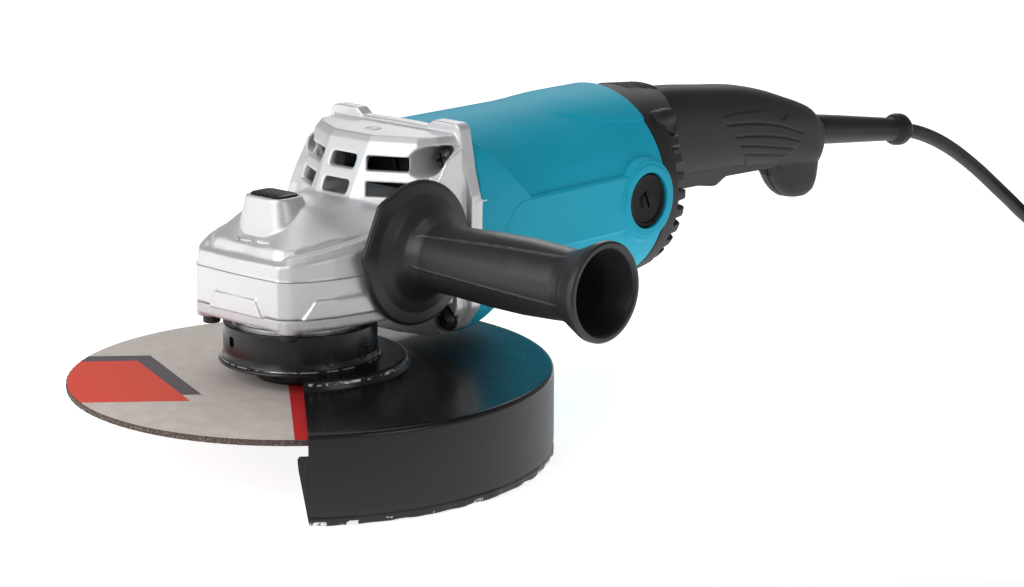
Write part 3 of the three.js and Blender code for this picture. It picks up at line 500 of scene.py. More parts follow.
def rod(axis, radius, low, high, centre=(0, 0, 0), sides=48, edge=0.0):
    return revolve(axis, [(0, low), (radius, low, edge), (radius, high, edge), (0, high)], centre, sides)


def block(x0, x1, y0, y1, z0, z1, corner=0.0, axis="z"):
    """A box whose edges along an axis are rounded."""
    spans = {"x": (y0, y1, z0, z1, x0, x1), "y": (x0, x1, z0, z1, y0, y1), "z": (x0, x1, y0, y1, z0, z1)}
    u0, u1, v0, v1, low, high = spans[axis]
    outline = soft([(u0, v0, corner), (u1, v0, corner), (u1, v1, corner), (u0, v1, corner)], True)
    return prism(axis, outline, low, high)


def turn(obj, degrees, axis="Z", centre=(0, 0, 0)):
    spin = Matrix.Rotation(math.radians(degrees), 4, axis)
    obj.data.transform(Matrix.Translation(centre) @ spin @ Matrix.Translation(-Vector(centre)))
    return obj


def shift(obj, x, y, z):
    obj.data.transform(Matrix.Translation((x, y, z)))
    return obj


def bake(obj):
    """Applies the modifiers of obj."""
    graph = bpy.context.evaluated_depsgraph_get()
    mesh = bpy.data.meshes.new_from_object(obj.evaluated_get(graph))
    obj.modifiers.clear()
    old = obj.data
    obj.data = mesh
    bpy.data.meshes.remove(old)
    return obj


def boolean(body, tool, operation):
    modifier = body.modifiers.new("boolean", "BOOLEAN")
    modifier.solver = "MANIFOLD"
    modifier.operation = operation
    modifier.object = tool
    bake(body)
    bpy.data.objects.remove(tool)
    return body


def join(body, *tools):
    for tool in tools:
        boolean(body, tool, "UNION")
    return body


def cut(body, *tools):
    for tool in tools:
        boolean(body, tool, "DIFFERENCE")
    return body


def keep(body, tool):
    return boolean(body, tool, "INTERSECT")


def cast(obj, voxel, smooth=6, share=1.0):
    """Gives a solid the soft edges of a casting: an even skin of small faces, smoothed."""
    remesh = obj.modifiers.new("remesh", "REMESH")
    remesh.mode = "VOXEL"
    remesh.voxel_size = voxel * 1
    relax = obj.modifiers.new("smooth", "SMOOTH")
    relax.factor = 0.5
    relax.iterations = smooth
    if share < 1:
        fewer = obj.modifiers.new("fewer", "DECIMATE")
        fewer.ratio = share
    return bake(obj)


def twin_of(obj):
    twin = bpy.data.objects.new(obj.name, obj.data.copy())
    scene.collection.objects.link(twin)
    return twin


def moved_by(obj, change):
    """Moves every point of obj by what change returns for all of them."""
    count = len(obj.data.vertices)
    places = np.empty(count * 3, np.float32)
    obj.data.vertices.foreach_get("co", places)
    places = places.reshape(-1, 3).astype(float)
    obj.data.vertices.foreach_set("co", change(places).astype(np.float32).ravel())
    obj.data.update()
    return obj


def normals_of(obj):
    found = np.empty(len(obj.data.vertices) * 3, np.float32)
    obj.data.vertices.foreach_get("normal", found)
    return found.reshape(-1, 3).astype(float)


def ease(t):
    t = np.clip(t, 0, 1)
    return t * t * (3 - 2 * t)


def piece(obj, name, body, slot, material, *nodes, sharp=32):
    """Finishes a piece: places it in the row frame, shades it and ties it to its body."""
    obj.name = obj.data.name = name
    obj.data.transform(TO_ROW)
    obj.data.materials.clear()
    obj.data.materials.append(material)
    obj.data.shade_smooth()
    if sharp:
        obj.data.set_sharp_from_angle(angle=math.radians(sharp))
    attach(obj, body)
    if nodes:
        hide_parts(*nodes)
    return obj


# ---------- cord ----------
# The route repeats the CAD model's, in metres from the hub.
CORD_ROUTE = [
    (0.5112, 0, 0.0559), (0.528, 0, 0.0516), (0.546, 0, 0.0452), (0.564, 0, 0.037), (0.582, -0.0003, 0.027),
    (0.600, -0.0009, 0.0156), (0.617, -0.0014, 0.004), (0.633, -0.002, -0.007), (0.648, -0.0026, -0.0176),
    (0.658, -0.0029, -0.0238), (0.668, -0.0032, -0.0286), (0.680, -0.0034, -0.0317), (0.691, -0.0035, -0.0325),
]
TAIL_ROUTE = [
    (0.690, -0.1205, -0.0055), (0.679, -0.1205, -0.0055), (0.668, -0.1205, -0.0056), (0.658, -0.1205, -0.007),
    (0.646, -0.1205, -0.0116), (0.635, -0.1205, -0.0166), (0.627, -0.1205, -0.0194), (0.622, -0.1205, -0.020),
    (0.6168, -0.1205, -0.020),
]
CORD_THICK = 0.009
COIL_CENTRE = (0.702, -0.062)
COIL_OUTER = 0.0585  # radius of the outermost turn's middle line
COIL_TURNS = 7.5
STEPS_PER_TURN = 48


def coil_points():
    """Neat turns a diameter apart: in, up, out, up, in, up, and out again over the top."""
    points = []
    for step in range(int(COIL_TURNS * STEPS_PER_TURN) + 1):
        t = step / STEPS_PER_TURN
        radius, height = COIL_OUTER, HUB.z * -1 + CORD_THICK / 2
        for start, way in ((0.5, -1), (1.5, -1), (2.5, 1), (3.5, 1), (4.5, -1), (5.5, -1)):
            radius += way * CORD_THICK * ease((t - start) / 0.45)
        radius += 2 * CORD_THICK * ease((t - 6.55) / 0.85)
        for start in (2.12, 4.12, 6.12):
            height += CORD_THICK * ease((t - start) / 0.38)
        angle = math.pi / 2 - 2 * math.pi * t
        points.append((COIL_CENTRE[0] + radius * math.cos(angle), COIL_CENTRE[1] + radius * math.sin(angle), height))
    return points


def through(points, steps):
    """A smooth line through points, with steps between each two (centripetal Catmull-Rom)."""
    points = [np.array(p, float) for p in points]
    padded = [2 * points[0] - points[1], *points, 2 * points[-1] - points[-2]]
    line = []
    for p0, p1, p2, p3 in zip(padded, padded[1:], padded[2:], padded[3:]):
        k0 = 0.0
        k1 = k0 + np.linalg.norm(p1 - p0) ** 0.5
        k2 = k1 + np.linalg.norm(p2 - p1) ** 0.5
        k3 = k2 + np.linalg.norm(p3 - p2) ** 0.5
        for t in np.linspace(k1, k2, steps, endpoint=False):
            a1 = (k1 - t) / (k1 - k0) * p0 + (t - k0) / (k1 - k0) * p1
            a2 = (k2 - t) / (k2 - k1) * p1 + (t - k1) / (k2 - k1) * p2
            a3 = (k3 - t) / (k3 - k2) * p2 + (t - k2) / (k3 - k2) * p3
            b1 = (k2 - t) / (k2 - k0) * a1 + (t - k0) / (k2 - k0) * a2
            b2 = (k3 - t) / (k3 - k1) * a2 + (t - k1) / (k3 - k1) * a3
            line.append((k2 - t) / (k2 - k1) * b1 + (t - k1) / (k2 - k1) * b2)
    line.append(points[-1])
    return line


def length_of(line):
    return float(sum(np.linalg.norm(np.subtract(b, a)) for a, b in zip(line, line[1:])))


def power_cord():
    coil = coil_points()
    line = through(CORD_ROUTE + coil[:1], 4)[:-1] + [np.array(p) for p in coil[:-1]]
    line += through(coil[-1:] + TAIL_ROUTE, 4)
    curve = bpy.data.curves.new("power_cord", "CURVE")
    curve.dimensions = "3D"
    curve.bevel_depth = CORD_THICK / 2
    curve.bevel_resolution = 5
    curve.use_fill_caps = True
    spline = curve.splines.new("POLY")
    spline.points.add(len(line) - 1)
    for point, place in zip(spline.points, line):
        point.co = (*(Vector(place) + HUB), 1)
    curve.materials.append(CORD)
    made = bpy.data.objects.new("power_cord_line", curve)
    scene.collection.objects.link(made)
    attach(made, "machine")
    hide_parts("power_cord", "cord_coil", "cord_tail")
    return made, length_of(line)


cord, cord_length = power_cord()

PLUG_AT = (616.4, -120.5, FLOOR_MM + 17)


def mains_plug():
    body = revolve("x", [
        (0, 0.3), (5.4, 0.3, 1), (7, -2, 1), (7.4, -12, 4), (11, -17, 4), (16.6, -25, 3), (17, -32, 2), (17, -45, 1.2),
        (16, -46.5, 1), (0, -46.5),
    ], PLUG_AT, 72)
    x, y, z = PLUG_AT
    ribs = [shift(revolve("x", [(4, 0), (8.6, 0, 0.5), (8.6, 1.8, 0.5), (4, 1.8)], sides=48), x - 4.4 - 3.2 * k, y, z)
            for k in range(3)]
    grooves = [
        shift(block(-41, -29, side * 17.8 - 1.6, side * 17.8 + 1.6, 4.5 * k - 9, 4.5 * k - 7.6, 0.5), *PLUG_AT)
        for side in (1, -1) for k in range(4)
    ]
    pins = [rod("x", 2.4, -65.5, -45, (x, y + side * 9.5, z), 24, 1.6) for side in (1, -1)]
    join(body, *ribs)
    cut(body, *grooves)
    metal = join(*pins)
    plug = piece(body, "mains_plug_body", "machine", "rubber", RUBBER, "mains_plug")
    piece(metal, "mains_plug_pins", "machine", "rubber", STEEL, "mains_plug")
    return plug, metal


plug_pieces = mains_plug()

# ---------- gear head ----------
MOTOR = 66.0  # height of the motor's axis
MOTOR_AT = (0, 0, MOTOR)
SIDE_HANDLE_AT = (30, 0, MOTOR)  # the side handle's axis
SCREW_SPREAD = 40.5
BOX_BOTTOM, BOX_TOP = 35.0, 41.0
HEAD_SIDE = 49.2  # half the head's width at its flange
LOCK_X, LOCK_TOP = -16.0, 93.0
CORNERS = [(1, 1), (-1, 1), (-1, -1), (1, -1)]
HEAD_PLAN = soft([
    (-42.6, 0), (-41.4, 28.4, 1.4), (-37.4, 33.8, 14), (-30.5, 38.9, 22), (-18, 43.8, 26), (0, 47.6, 26),
    (10, 48.8, 18), (66, 49),
])


def screw_at(sy, sz):
    return (0, sy * SCREW_SPREAD, MOTOR + sz * SCREW_SPREAD)


def head_ring(inset, height):
    """The plan moved inwards by inset. height is a number or goes with the plan's own x and y."""
    side = []
    for x, y in HEAD_PLAN:
        reach = math.hypot(x, y)
        share = 0 if x > 60 else inset
        z = height(x, y) if callable(height) else height
        side.append((x - share * x / reach, y - inset * y / reach, z))
    return side + [(x, -y, z) for x, y, z in side[:0:-1]]


def wall_top(x, y):
    return min(74.0, 67.2 + 0.115 * (x + 41))


def shoulder_floor(x, y):
    """The ledge round the deck is low along the front and climbs along the sides."""
    return 68.1 if x < -39.5 else min(77.5, 72.4 + 0.126 * (x + 24))


# Half outline of the deck's edge, and heights of its surface, as (x, y, z).
DECK_EDGE = [
    (-34.5, 0, 73.4), (-35, 11, 73.4), (-35, 20.5, 73.4), (-33.6, 24.4, 73.2), (-30, 29, 73.1), (-20.6, 33, 74.5),
    (-5, 37, 76.4), (14.6, 39, 77.7), (40, 42.5, 80), (62, 44, 82),
]
DECK_INSIDE = [
    (-28.5, 0, 75.6), (-28, 6, 76), (-24.8, 10.6, 80.5), (-18, 15, 86), (-12, 16, 89), (-4, 0, 92), (8, 0, 91),
    (20, 0, 89), (20, 10, 88.5), (18, 24, 85.5), (0, 26, 83), (30, 36, 82.5), (60, 0, 88), (60, 25, 87),
]


def deck_surface():
    """A smooth surface through the deck's points, as a function of x and y."""
    half = DECK_EDGE + DECK_INSIDE
    points = np.array(half + [(x, -y, z) for x, y, z in half if y], float)

    def bend(a, b):
        squared = ((a[:, None, :] - b[None, :, :]) ** 2).sum(-1)
        return squared * np.log(squared + 1e-9) / 2

    n = len(points)
    flat = np.column_stack([np.ones(n), points[:, :2]])
    system = np.zeros((n + 3, n + 3))
    system[:n, :n] = bend(points[:, :2], points[:, :2]) + 2.0 * np.eye(n)
    system[:n, n:], system[n:, :n] = flat, flat.T
    weights = np.linalg.solve(system, np.concatenate([points[:, 2], np.zeros(3)]))

    def height(x, y):
        at = np.column_stack([np.ravel(x), np.ravel(y)])
        value = bend(at, points[:, :2]) @ weights[:n] + np.column_stack([np.ones(len(at)), at]) @ weights[n:]
        return value.reshape(np.shape(x))

    return height


def deck_solid():
    """The raised deck: slanted sides, and rings that shrink towards its middle over the smooth surface."""
    line = []
    for a, b in zip(DECK_EDGE, DECK_EDGE[1:]):
        line += [tuple(np.add(a, np.multiply(np.subtract(b, a), k / 6))) for k in range(6)]
    line.append(DECK_EDGE[-1])
    edge = np.array(line + [(x, -y, z) for x, y, z in line[:0:-1]])
    middle = np.array([6.0, 0.0])
    height = deck_surface()
    away = edge[:, :2] - middle
    length = np.linalg.norm(away, axis=1)[:, None]
    rings = []
    for grow, drop in ((2.6, 14.0), (2.6, 5.6), (0.3, 0.5)):
        rings.append(np.column_stack([middle + away * (length + grow) / length, edge[:, 2] - drop]))
    for share in np.linspace(0.985, 0.03, 34):
        flat = middle + away * share
        rings.append(np.column_stack([flat, height(flat[:, 0], flat[:, 1])]))
    return skin(rings)


def boss_solid():
    """The steep collar round the shaft lock button."""
    rings = []
    for long, wide, corner, z in (
        (13.2, 22, 12.5, 68), (12.4, 19.4, 11.6, 76), (11.5, 17, 10.6, 83), (10.6, 15.2, 9.2, 89),
        (9.8, 13.7, 7.5, LOCK_TOP + 0.6), (9.1, 12.9, 6.5, LOCK_TOP + 1.6),
    ):
        outline = soft([(LOCK_X + sx * long, sy * wide, corner) for sx, sy in CORNERS], True, 8)
        rings.append([(x, y, z) for x, y in outline])
    return skin(rings)


def hood(inset, base, roof):
    """The hood over the fan, with slanted front and sides."""
    back = 67 - inset
    levels = [
        (base, (16, 12), (36, 43), (50, 47), (back, 47)),
        (98, (27, 13), (42, 40), (52, 45), (back, 46)),
        (roof - 3, (35, 14), (46, 36), (54, 42), (back, 44)),
        (roof, (37.5, 13), (48, 34), (55, 40), (back, 42)),
    ]
    rings = []
    for z, *half in levels:
        near = [(x + inset, y - inset * 0.6, z) for x, y in half]
        rings.append(near + [(x, -y, z) for x, y, _ in near[::-1]])
    return skin(rings)


def hood_slots():
    """Two rows of air slots: one to the front and one to each side in each row."""
    slots = []
    for low, high in ((89.5, 96.5), (101.5, 108.5)):
        slots.append(block(10, 48, -8.5, 8.5, low, high, 2.0, "x"))
        for side in (1, -1):
            slot = block(-9.5, 9.5, -8.5, 12.5, low, high, 2.0, "y")
            slots.append(shift(turn(slot, 142 if side > 0 else 38), 36, 28 * side, 0))
    return slots


def flange_outline(half):
    """The flange seen along the motor: rounded ears with a dip between them at the top."""
    ears = [(min(half, 50), 98, 6), (47.5, 109, 4), (45, 121.6, 3), (42, 123.4, 2.5), (27, 123.4, 2.5), (22, 119.6, 3)]
    roof = [(18, 119.8), (9, 120)]
    lower = [(10, 13.2), (32, 15, 4), (44, 20, 6), (half, 32, 8)]
    upper = [(half, 66), (half, 88, 6), *ears, *roof]
    return soft([
        *upper, *[(-p[0], *p[1:]) for p in upper[:0:-1]], (-half, 66), *[(-p[0], *p[1:]) for p in lower[::-1]],
        *lower,
    ], True)


def gear_head():
    ledge = np.array(head_ring(7.0, shoulder_floor))
    inner = ledge * (0.8, 0.8, 1) + (1.2, 0, -1)
    top = np.column_stack([ledge[:, :2] * 0.2 + (5, 0), np.full(len(ledge), 72.0)])
    body = skin([
        head_ring(0.4, BOX_TOP + GAP), head_ring(0, BOX_TOP + 0.8), head_ring(0, CREASE), head_ring(0.6, CREASE + 0.7),
        head_ring(1.2, lambda x, y: wall_top(x, y) - 1.2), head_ring(1.8, wall_top), head_ring(5.2, shoulder_floor),
        ledge, inner, top,
    ])
    deck = deck_solid()
    boss = boss_solid()
    flange = cut(prism("x", flange_outline(HEAD_SIDE), 60, 74), block(58, 66.3, -60, 60, 110.5, 130))
    rim = prism("x", flange_outline(52.6), 66.9, 74)
    web = soft([
        (36, 74), (40, 85.5, 8), (44.7, 94, 6), (49.5, 101, 5), (53, 107, 4), (58, 110, 3), (64, 113), (64, 74),
    ])
    webs = [prism("y", web, *one_side(side, 41, HEAD_SIDE)) for side in (1, -1)]
    tongues = [block(70, 80, side * 51.6 - 1.2, side * 51.6 + 1.2, 46, 86, 2.5, "y") for side in (1, -1)]
    handle_bosses = [rod("y", 15, *one_side(side, 38, HEAD_SIDE), SIDE_HANDLE_AT, 64) for side in (1, -1)]
    # low trapezoid panels with slanted sides above the seam, on the front and on both sides
    front = skin([
        [(x, y, z) for y, z in ((-foot, 40.5), (-roof, high), (roof, high), (foot, 40.5))]
        for x, foot, roof, high in ((-41.5, 19.5, 14.6, 49.6), (-43.4, 18.3, 13.7, 48.7))
    ])
    sides = []
    for side in (1, -1):
        band = skin([head_ring(-1.3, 41.3), head_ring(-1.3, 49.7), head_ring(0.2, 51.2)])
        outline = [(-34.6, 40), (-26.8, 52), (50, 52), (50, 40)]
        sides.append(keep(band, prism("y", outline, *one_side(side, 25, 49.1))))
    join(body, deck, boss, flange, rim, *tongues, hood(0, 74, 118), *webs, *handle_bosses, front, *sides)

    low_chamber = rod("z", 34.5, BOX_TOP - 1, 73)
    seat = rod("z", 11 + GAP, 72, 83)
    bearing_seat = rod("x", 17.5 + GAP, 30, 58, MOTOR_AT)
    pinion_room = rod("x", 10, 8, 50, MOTOR_AT)
    shaft_hole = rod("x", 9, 50, 75, MOTOR_AT)
    fan_chamber = rod("x", 47, 62, 81, MOTOR_AT, 72)
    duct = cut(hood(3.4, 80, 114.2), block(0, 67, -60, 60, 60, 87))
    duct = cut(duct, *[block(46, 70, *one_side(side, 31, 60), 60, 120) for side in (1, -1)])
    duct_mouth = block(45, 64, -30, 30, 90, 108)
    lock_hole = rod("z", 4.4, 70, LOCK_TOP, (LOCK_X, 0, 0))
    button_seat = prism("z", button_outline(0.45), LOCK_TOP - 9, LOCK_TOP + 3)
    pockets, holes = [], []
    for sy, sz in CORNERS:
        pockets.append(rod("x", 7.2, 36, 63.4, screw_at(sy, sz), 48))
        holes.append(rod("x", 3.3, 60, 75, screw_at(sy, sz), 24))
    stud_holes = [rod("y", 6.6, *one_side(side, 33, 52), SIDE_HANDLE_AT) for side in (1, -1)]
    cut(
        body, low_chamber, seat, bearing_seat, pinion_room, shaft_hole, fan_chamber, duct, duct_mouth, lock_hole,
        button_seat, *pockets, *holes, *stud_holes, *hood_slots(),
    )
    cast(body, 0.6, 3, 0.42)
    # raised marks: two half arrows on the deck and a small ring with a bar on the roof
    slope = deck_surface()
    marks = [arrow_mark(x, y, degrees, float(slope(np.array([x]), np.array([y]))[0]) - 0.6)
             for x, y, degrees in ((-32.3, 4.0, 92), (-32.5, -11.0, -88))]
    ring = revolve(
        "z", [(3.1, 117.2), (4.1, 117.2), (4.1, 118.5, 0.3), (3.1, 118.5, 0.3)], (50, -1, 0), 48, closed=True,
    )
    bar = block(49.4, 50.6, -3.4, 1.4, 117.2, 118.5, 0.4)
    join(body, ring, bar, *marks)
    piece(body, "gear_head", "machine", "cast_silver", SILVER, "gear_housing", sharp=50)


def arrow_mark(x, y, degrees, z):
    mark = prism("z", [(-5.2, -0.45), (3.4, -0.45), (3.2, 1.1), (5.6, 0.45), (-5.2, 0.45)], 0, 1.3)
    return shift(turn(mark, degrees), x, y, z)


def button_outline(grow):
    long, wide, corner = 7.2 + grow, 11 + grow, 4.5
    return soft([(LOCK_X + sx * long, sy * wide, corner) for sx, sy in CORNERS], True, 6)


def lock_button():
    body = prism("z", button_outline(0), LOCK_TOP - 2.4, LOCK_TOP + 2.5, 0.8)
    grooves = [
        block(LOCK_X - 8, LOCK_X + 8, y - 0.5, y + 0.5, LOCK_TOP + 1.2, LOCK_TOP + 4)
        for y in np.arange(-8.4, 8.5, 2.1)
    ]
    cut(body, *grooves)
    piece(body, "lock_button", "shaft_lock", "black_plastic", GRIP, "shaft_lock_button")


BOX_SCREWS = [(-33.5, 27.5), (-33.5, -27.5), (35, 40.5), (35, -40.5)]


def bearing_plate():
    plate = skin([head_ring(1.6, BOX_BOTTOM), head_ring(0.4, BOX_BOTTOM + 0.5), head_ring(0, BOX_BOTTOM + 1.6),
                  head_ring(0, BOX_TOP - 0.5), head_ring(0.5, BOX_TOP)])
    cut(plate, block(58, 70, -60, 60, 30, 50))
    seats = [rod("z", 7.2, 33.6, BOX_TOP - 1, (x, y, 0), 40, 0.8) for x, y in BOX_SCREWS]
    join(plate, *[keep(seat, block(-41.8, 60, -49.2, 49.2, 30, 45)) for seat in seats])
    cut(
        plate, rod("z", 17.8, 20, BOX_TOP + 1, sides=64), rod("z", 31.2, 20, 36, sides=96),
        *[rod("z", 2.8, 30, BOX_TOP + 1, (x, y, 0), 24) for x, y in BOX_SCREWS],
    )
    cast(plate, 0.6, 3, 0.5)
    piece(plate, "bearing_plate", "machine", "cast_silver", SAND_CAST, "bearing_box", sharp=50)
    neck = revolve("z", [
        (12.8, 13.5), (32.6, 13.5, 0.8), (33.8, 15, 0.8), (33.8, 29.4), (33.1, 30.2, 0.3), (33.1, 31.4, 0.3),
        (33.8, 32, 0.3), (33.8, 34.2, 0.4), (31.6, 35.7), (17.8, 35.7), (17.8, 21), (12.8, 21),
    ], sides=128, closed=True)
    notches = [turn(block(31.9, 35, -4.2, 4.2, 31.9, 36, 0.8, "x"), angle) for angle in (-155, -118, -84, -50)]
    cut(neck, *notches)
    piece(neck, "bearing_neck", "machine", "cast_silver", NECK_STEEL, "bearing_box")


def socket_screw(k, x, y):
    screw = revolve("z", [
        (0, 29.6), (2.2, 29.6), (4.3, 29.6, 0.7), (4.3, BOX_BOTTOM - 0.4, 0.3), (2.5, BOX_BOTTOM - 0.3), (2.5, 51, 0.6),
        (0, 51),
    ], (x, y, 0), 48)
    socket = rod("z", 2.3, 28, 32.4, (x, y, 0), 6)
    cut(screw, socket)
    piece(screw, f"socket_screw_{k}", "machine", "black_steel", BLACK_STEEL, f"bearing_box_screw_{k}")


def housing_screw(k, sy, sz):
    at = screw_at(sy, sz)
    screw = revolve("x", [(0, 57.9), (3.4, 58.3, 2), (5.5, 60.2, 0.8), (5.5, 63.1, 0.3), (3, 63.2), (3, 80), (0, 80)],
                    at, 48)
    washer = revolve("x", [(3.3, 62.1), (6.6, 62.1, 0.2), (6.6, 63.2, 0.2), (3.3, 63.2)], at, 48, closed=True)
    join(screw, washer)
    slots = [
        shift(turn(block(57, 60.6, -wide, wide, -tall, tall, 0.3, "x"), 20 * sy * sz, "X"), *at)
        for wide, tall in ((3.4, 0.7), (0.7, 3.4))
    ]
    cut(screw, *slots)
    piece(screw, f"long_screw_{k}", "machine", "black_steel", SCREW_STEEL, f"housing_screw_{k}")


gear_head()
lock_button()
bearing_plate()
for k, (x, y) in enumerate(BOX_SCREWS, 1):
    socket_screw(k, x, y)
for k, (sy, sz) in enumerate(CORNERS, 1):
    housing_screw(k, sy, sz)

# ---------- wheel side ----------
GUARD_MIDDLE = -42.0  # which way the guard opens away from, in degrees
GUARD_RIM = FLOOR_MM
COLLAR_RADIUS, COLLAR_TOP = 38.0, 30.0
CLAMP_ANGLE = 80.0
CLAMP_BOLT = (45.5, 0, 20)


def guard_shell():
    """The half-round sheet with its step, rounded top edge and rolled hem."""
    line = soft([
        (34.2, 9.6), (49.6, 9.6, 1.2), (51.6, 5, 1.6), (123, 5, 3.2), (123, GUARD_RIM + 4.4, 0.6),
        (121.4, GUARD_RIM + 3.0, 0.8), (121.2, GUARD_RIM, 1.0), (124.9, GUARD_RIM, 1.4),
        (125.2, GUARD_RIM + 3.6, 0.8), (124.8, GUARD_RIM + 4.6, 0.6), (125, -30, 3), (125, 7.1, 4.6), (118.4, 6.9, 2.5),
        (60, 6.6, 1.5), (53.6, 7.0, 1.0), (52.2, 11.9, 1.5), (47, 11.6, 2), (34.2, 11.6),
    ], True, 6)
    angles = np.radians(np.linspace(GUARD_MIDDLE - 90, GUARD_MIDDLE + 90, 361))
    radius, height = np.array(line).T
    rings = []
    for a in angles:
        # the hem was crimped in short bites, so its line wanders a little
        hem = np.clip((GUARD_RIM + 6 - height) / 6, 0, 1) * (radius > 110)
        wander = 0.30 * math.sin(19 * a) + 0.22 * math.sin(41 * a + 1.3) + 0.12 * math.sin(73 * a)
        r = radius + hem * (wander - 0.3)
        z = height + hem * np.maximum(0, 0.35 * math.sin(19 * a + 0.8) + 0.25 * math.sin(57 * a)) * 0.9
        # a dent from a knock, on the right
        knock = np.exp(-((math.degrees(a) + 46.5) / 2.0) ** 2) * np.exp(-((height + 17.5) / 2.6) ** 2)
        r = r - 1.8 * knock * (radius > 110)
        rings.append(np.stack([r * math.cos(a), r * math.sin(a), z], -1))
    return skin(rings)


def emboss(angle, z, radius=3.6):
    """A thin raised ring on the collar's wall."""
    low, high = radius - 0.55, radius + 0.1
    mark = revolve("x", [(low, -1), (high, -1), (high, 0.35, 0.25), (low, 0.35, 0.25)], sides=48, closed=True)
    shift(mark, COLLAR_RADIUS, 0, z)
    return turn(mark, angle)


def wheel_guard():
    body = guard_shell()
    collar = revolve("z", [
        (34.2, COLLAR_FOOT), (40.6, COLLAR_FOOT, 0.6), (40.2, COLLAR_FOOT + 1.2, 0.5), (38.7, COLLAR_FOOT + 2.6, 1.6),
        (COLLAR_RADIUS, 16, 3), (COLLAR_RADIUS, COLLAR_TOP, 0.7), (34.2, COLLAR_TOP, 0.4),
    ], sides=160, closed=True)
    tab_rings = []
    for z, reach in ((GUARD_RIM + 1.5, 0.3), (-24, 2.2), (-10, 4.6), (-5, 5.0), (-3.6, 4.0)):
        tab_rings.append([(-reach, -123.4, z), (2.5, -123.4, z), (2.5, -124.6, z), (-reach, -124.2, z)])
    tab = turn(skin(tab_rings), GUARD_MIDDLE)
    ears = turn(block(COLLAR_RADIUS - 1.5, 51, -7, 7, 14, 26, 2.2, "y"), CLAMP_ANGLE)
    join(body, collar, tab, ears)
    split = turn(block(31, 55, -1.5, 1.5, 9, 31), CLAMP_ANGLE)
    hole = turn(rod("y", 2.8, -8, 8, CLAMP_BOLT, 24), CLAMP_ANGLE)
    front_slot = turn(block(33, 40, -2.2, 2.2, 20.5, 25.5, 1.2, "x"), 165)
    cut(body, split, hole, front_slot)
    join(body, emboss(-110.6, 17.8), emboss(-80.6, 18.6))
    piece(body, "guard_sheet", "guard", "guard_paint", GUARD_PAINT, "wheel_guard", sharp=38)


def clamp_screw():
    screw = revolve("y", [
        (0, -9), (2.5, -9, 0.5), (2.5, 7.3), (4.3, 7.3, 0.3), (4.3, 11.5, 0.6), (2.2, 11.5), (0, 11.5),
    ], CLAMP_BOLT, 48)
    cut(screw, rod("y", 2.1, 9, 13, CLAMP_BOLT, 6))
    turn(screw, CLAMP_ANGLE)
    piece(screw, "clamp_screw", "guard", "black_steel", BLACK_STEEL, "guard_clamp_screw")


def spindle():
    """The spindle, with its M14 thread below the wheel."""
    angle = around(64)
    rings = []
    for z in np.arange(-16, 13.01, 0.25):
        fade = min(1.0, (z + 16.4) / 1.6, (13.2 - z) / 1.0)
        rings.append(thread_ring("z", 7 - 0.9 * max(0, -15 - z), 0.62 * fade, angle, z))
    for r, z in ((7.5, 14.2), (7.5, 61), (6.5, 62), (5.7, 73.5), (5.7, 81.2), (5.1, 82)):
        rings.append(ring_on("z", r, angle, z))
    body = skin(rings)
    cut(body, revolve("z", [(0, -17), (2.2, -17), (0, -13.6)], sides=24))
    piece(body, "threaded_spindle", "wheel_spindle", "steel", STEEL, "spindle")


def inner_flange():
    body = revolve("z", [
        (7.3, -1.2), (10.8, -1.2, 0.3), (10.8, 1.8), (22, 1.8, 0.3), (23, 3, 0.6), (23, 8, 0.8), (21.5, 9.2, 0.8),
        (12.4, 9.8, 1), (12, 13, 0.4), (7.3, 13, 0.3),
    ], sides=128, closed=True)
    cut(body, *[turn(block(21.6, 25, -3.5, 3.5, 4.2, 12, 0.6, "x"), 90 * k + 20) for k in range(4)])
    piece(body, "clamping_flange", "wheel_spindle", "black_steel", BLACK_STEEL, "inner_flange")


def wheel():
    """The disc, with a slightly uneven rim."""
    angle = around(720)
    uneven = 0.10 * np.sin(97 * angle) + 0.08 * np.sin(173 * angle + 1) + 0.06 * np.sin(311 * angle + 2)
    rings = []
    for r, z, share in ((11.1, -1.5, 0), (40, -1.5, 0), (80, -1.5, 0), (114.2, -1.5, 0.5), (114.8, -1.2, 1),
                        (114.8, 0, 1), (114.8, 1.2, 1), (114.3, 1.5, 0.3), (80, 1.5, 0), (40, 1.5, 0), (11.1, 1.5, 0)):
        rings.append(ring_on("z", r + share * uneven, angle, z))
    body = skin(rings, ends=False)
    piece(body, "abrasive_wheel", "wheel_spindle", "abrasive", DISC_PAPER, "cutting_disc", sharp=40)


def lock_nut():
    body = revolve("z", [
        (7.3, -11), (12, -11, 0.5), (13, -9.5, 0.8), (19, -8, 0.8), (20, -7, 0.6), (20, -2.2, 0.6), (19, -1.8),
        (7.3, -1.8),
    ], sides=96, closed=True)
    cut(body, *[rod("z", 2, -12, -4, (side * 15.5, 0, 0), 32) for side in (1, -1)])
    piece(body, "clamp_nut", "wheel_spindle", "black_steel", BLACK_STEEL, "lock_nut")


wheel_guard()
clamp_screw()
spindle()
inner_flange()
wheel()
lock_nut()

# ---------- motor housing ----------
HOUSING_FRONT, HOUSING_BACK, HOUSING_RADIUS = 74.3, 218.0, 53.0
BRUSH_X = 201.5
BRUSH_AT = (BRUSH_X, 0, MOTOR)
CAP_SLOT_TURN = 24.0


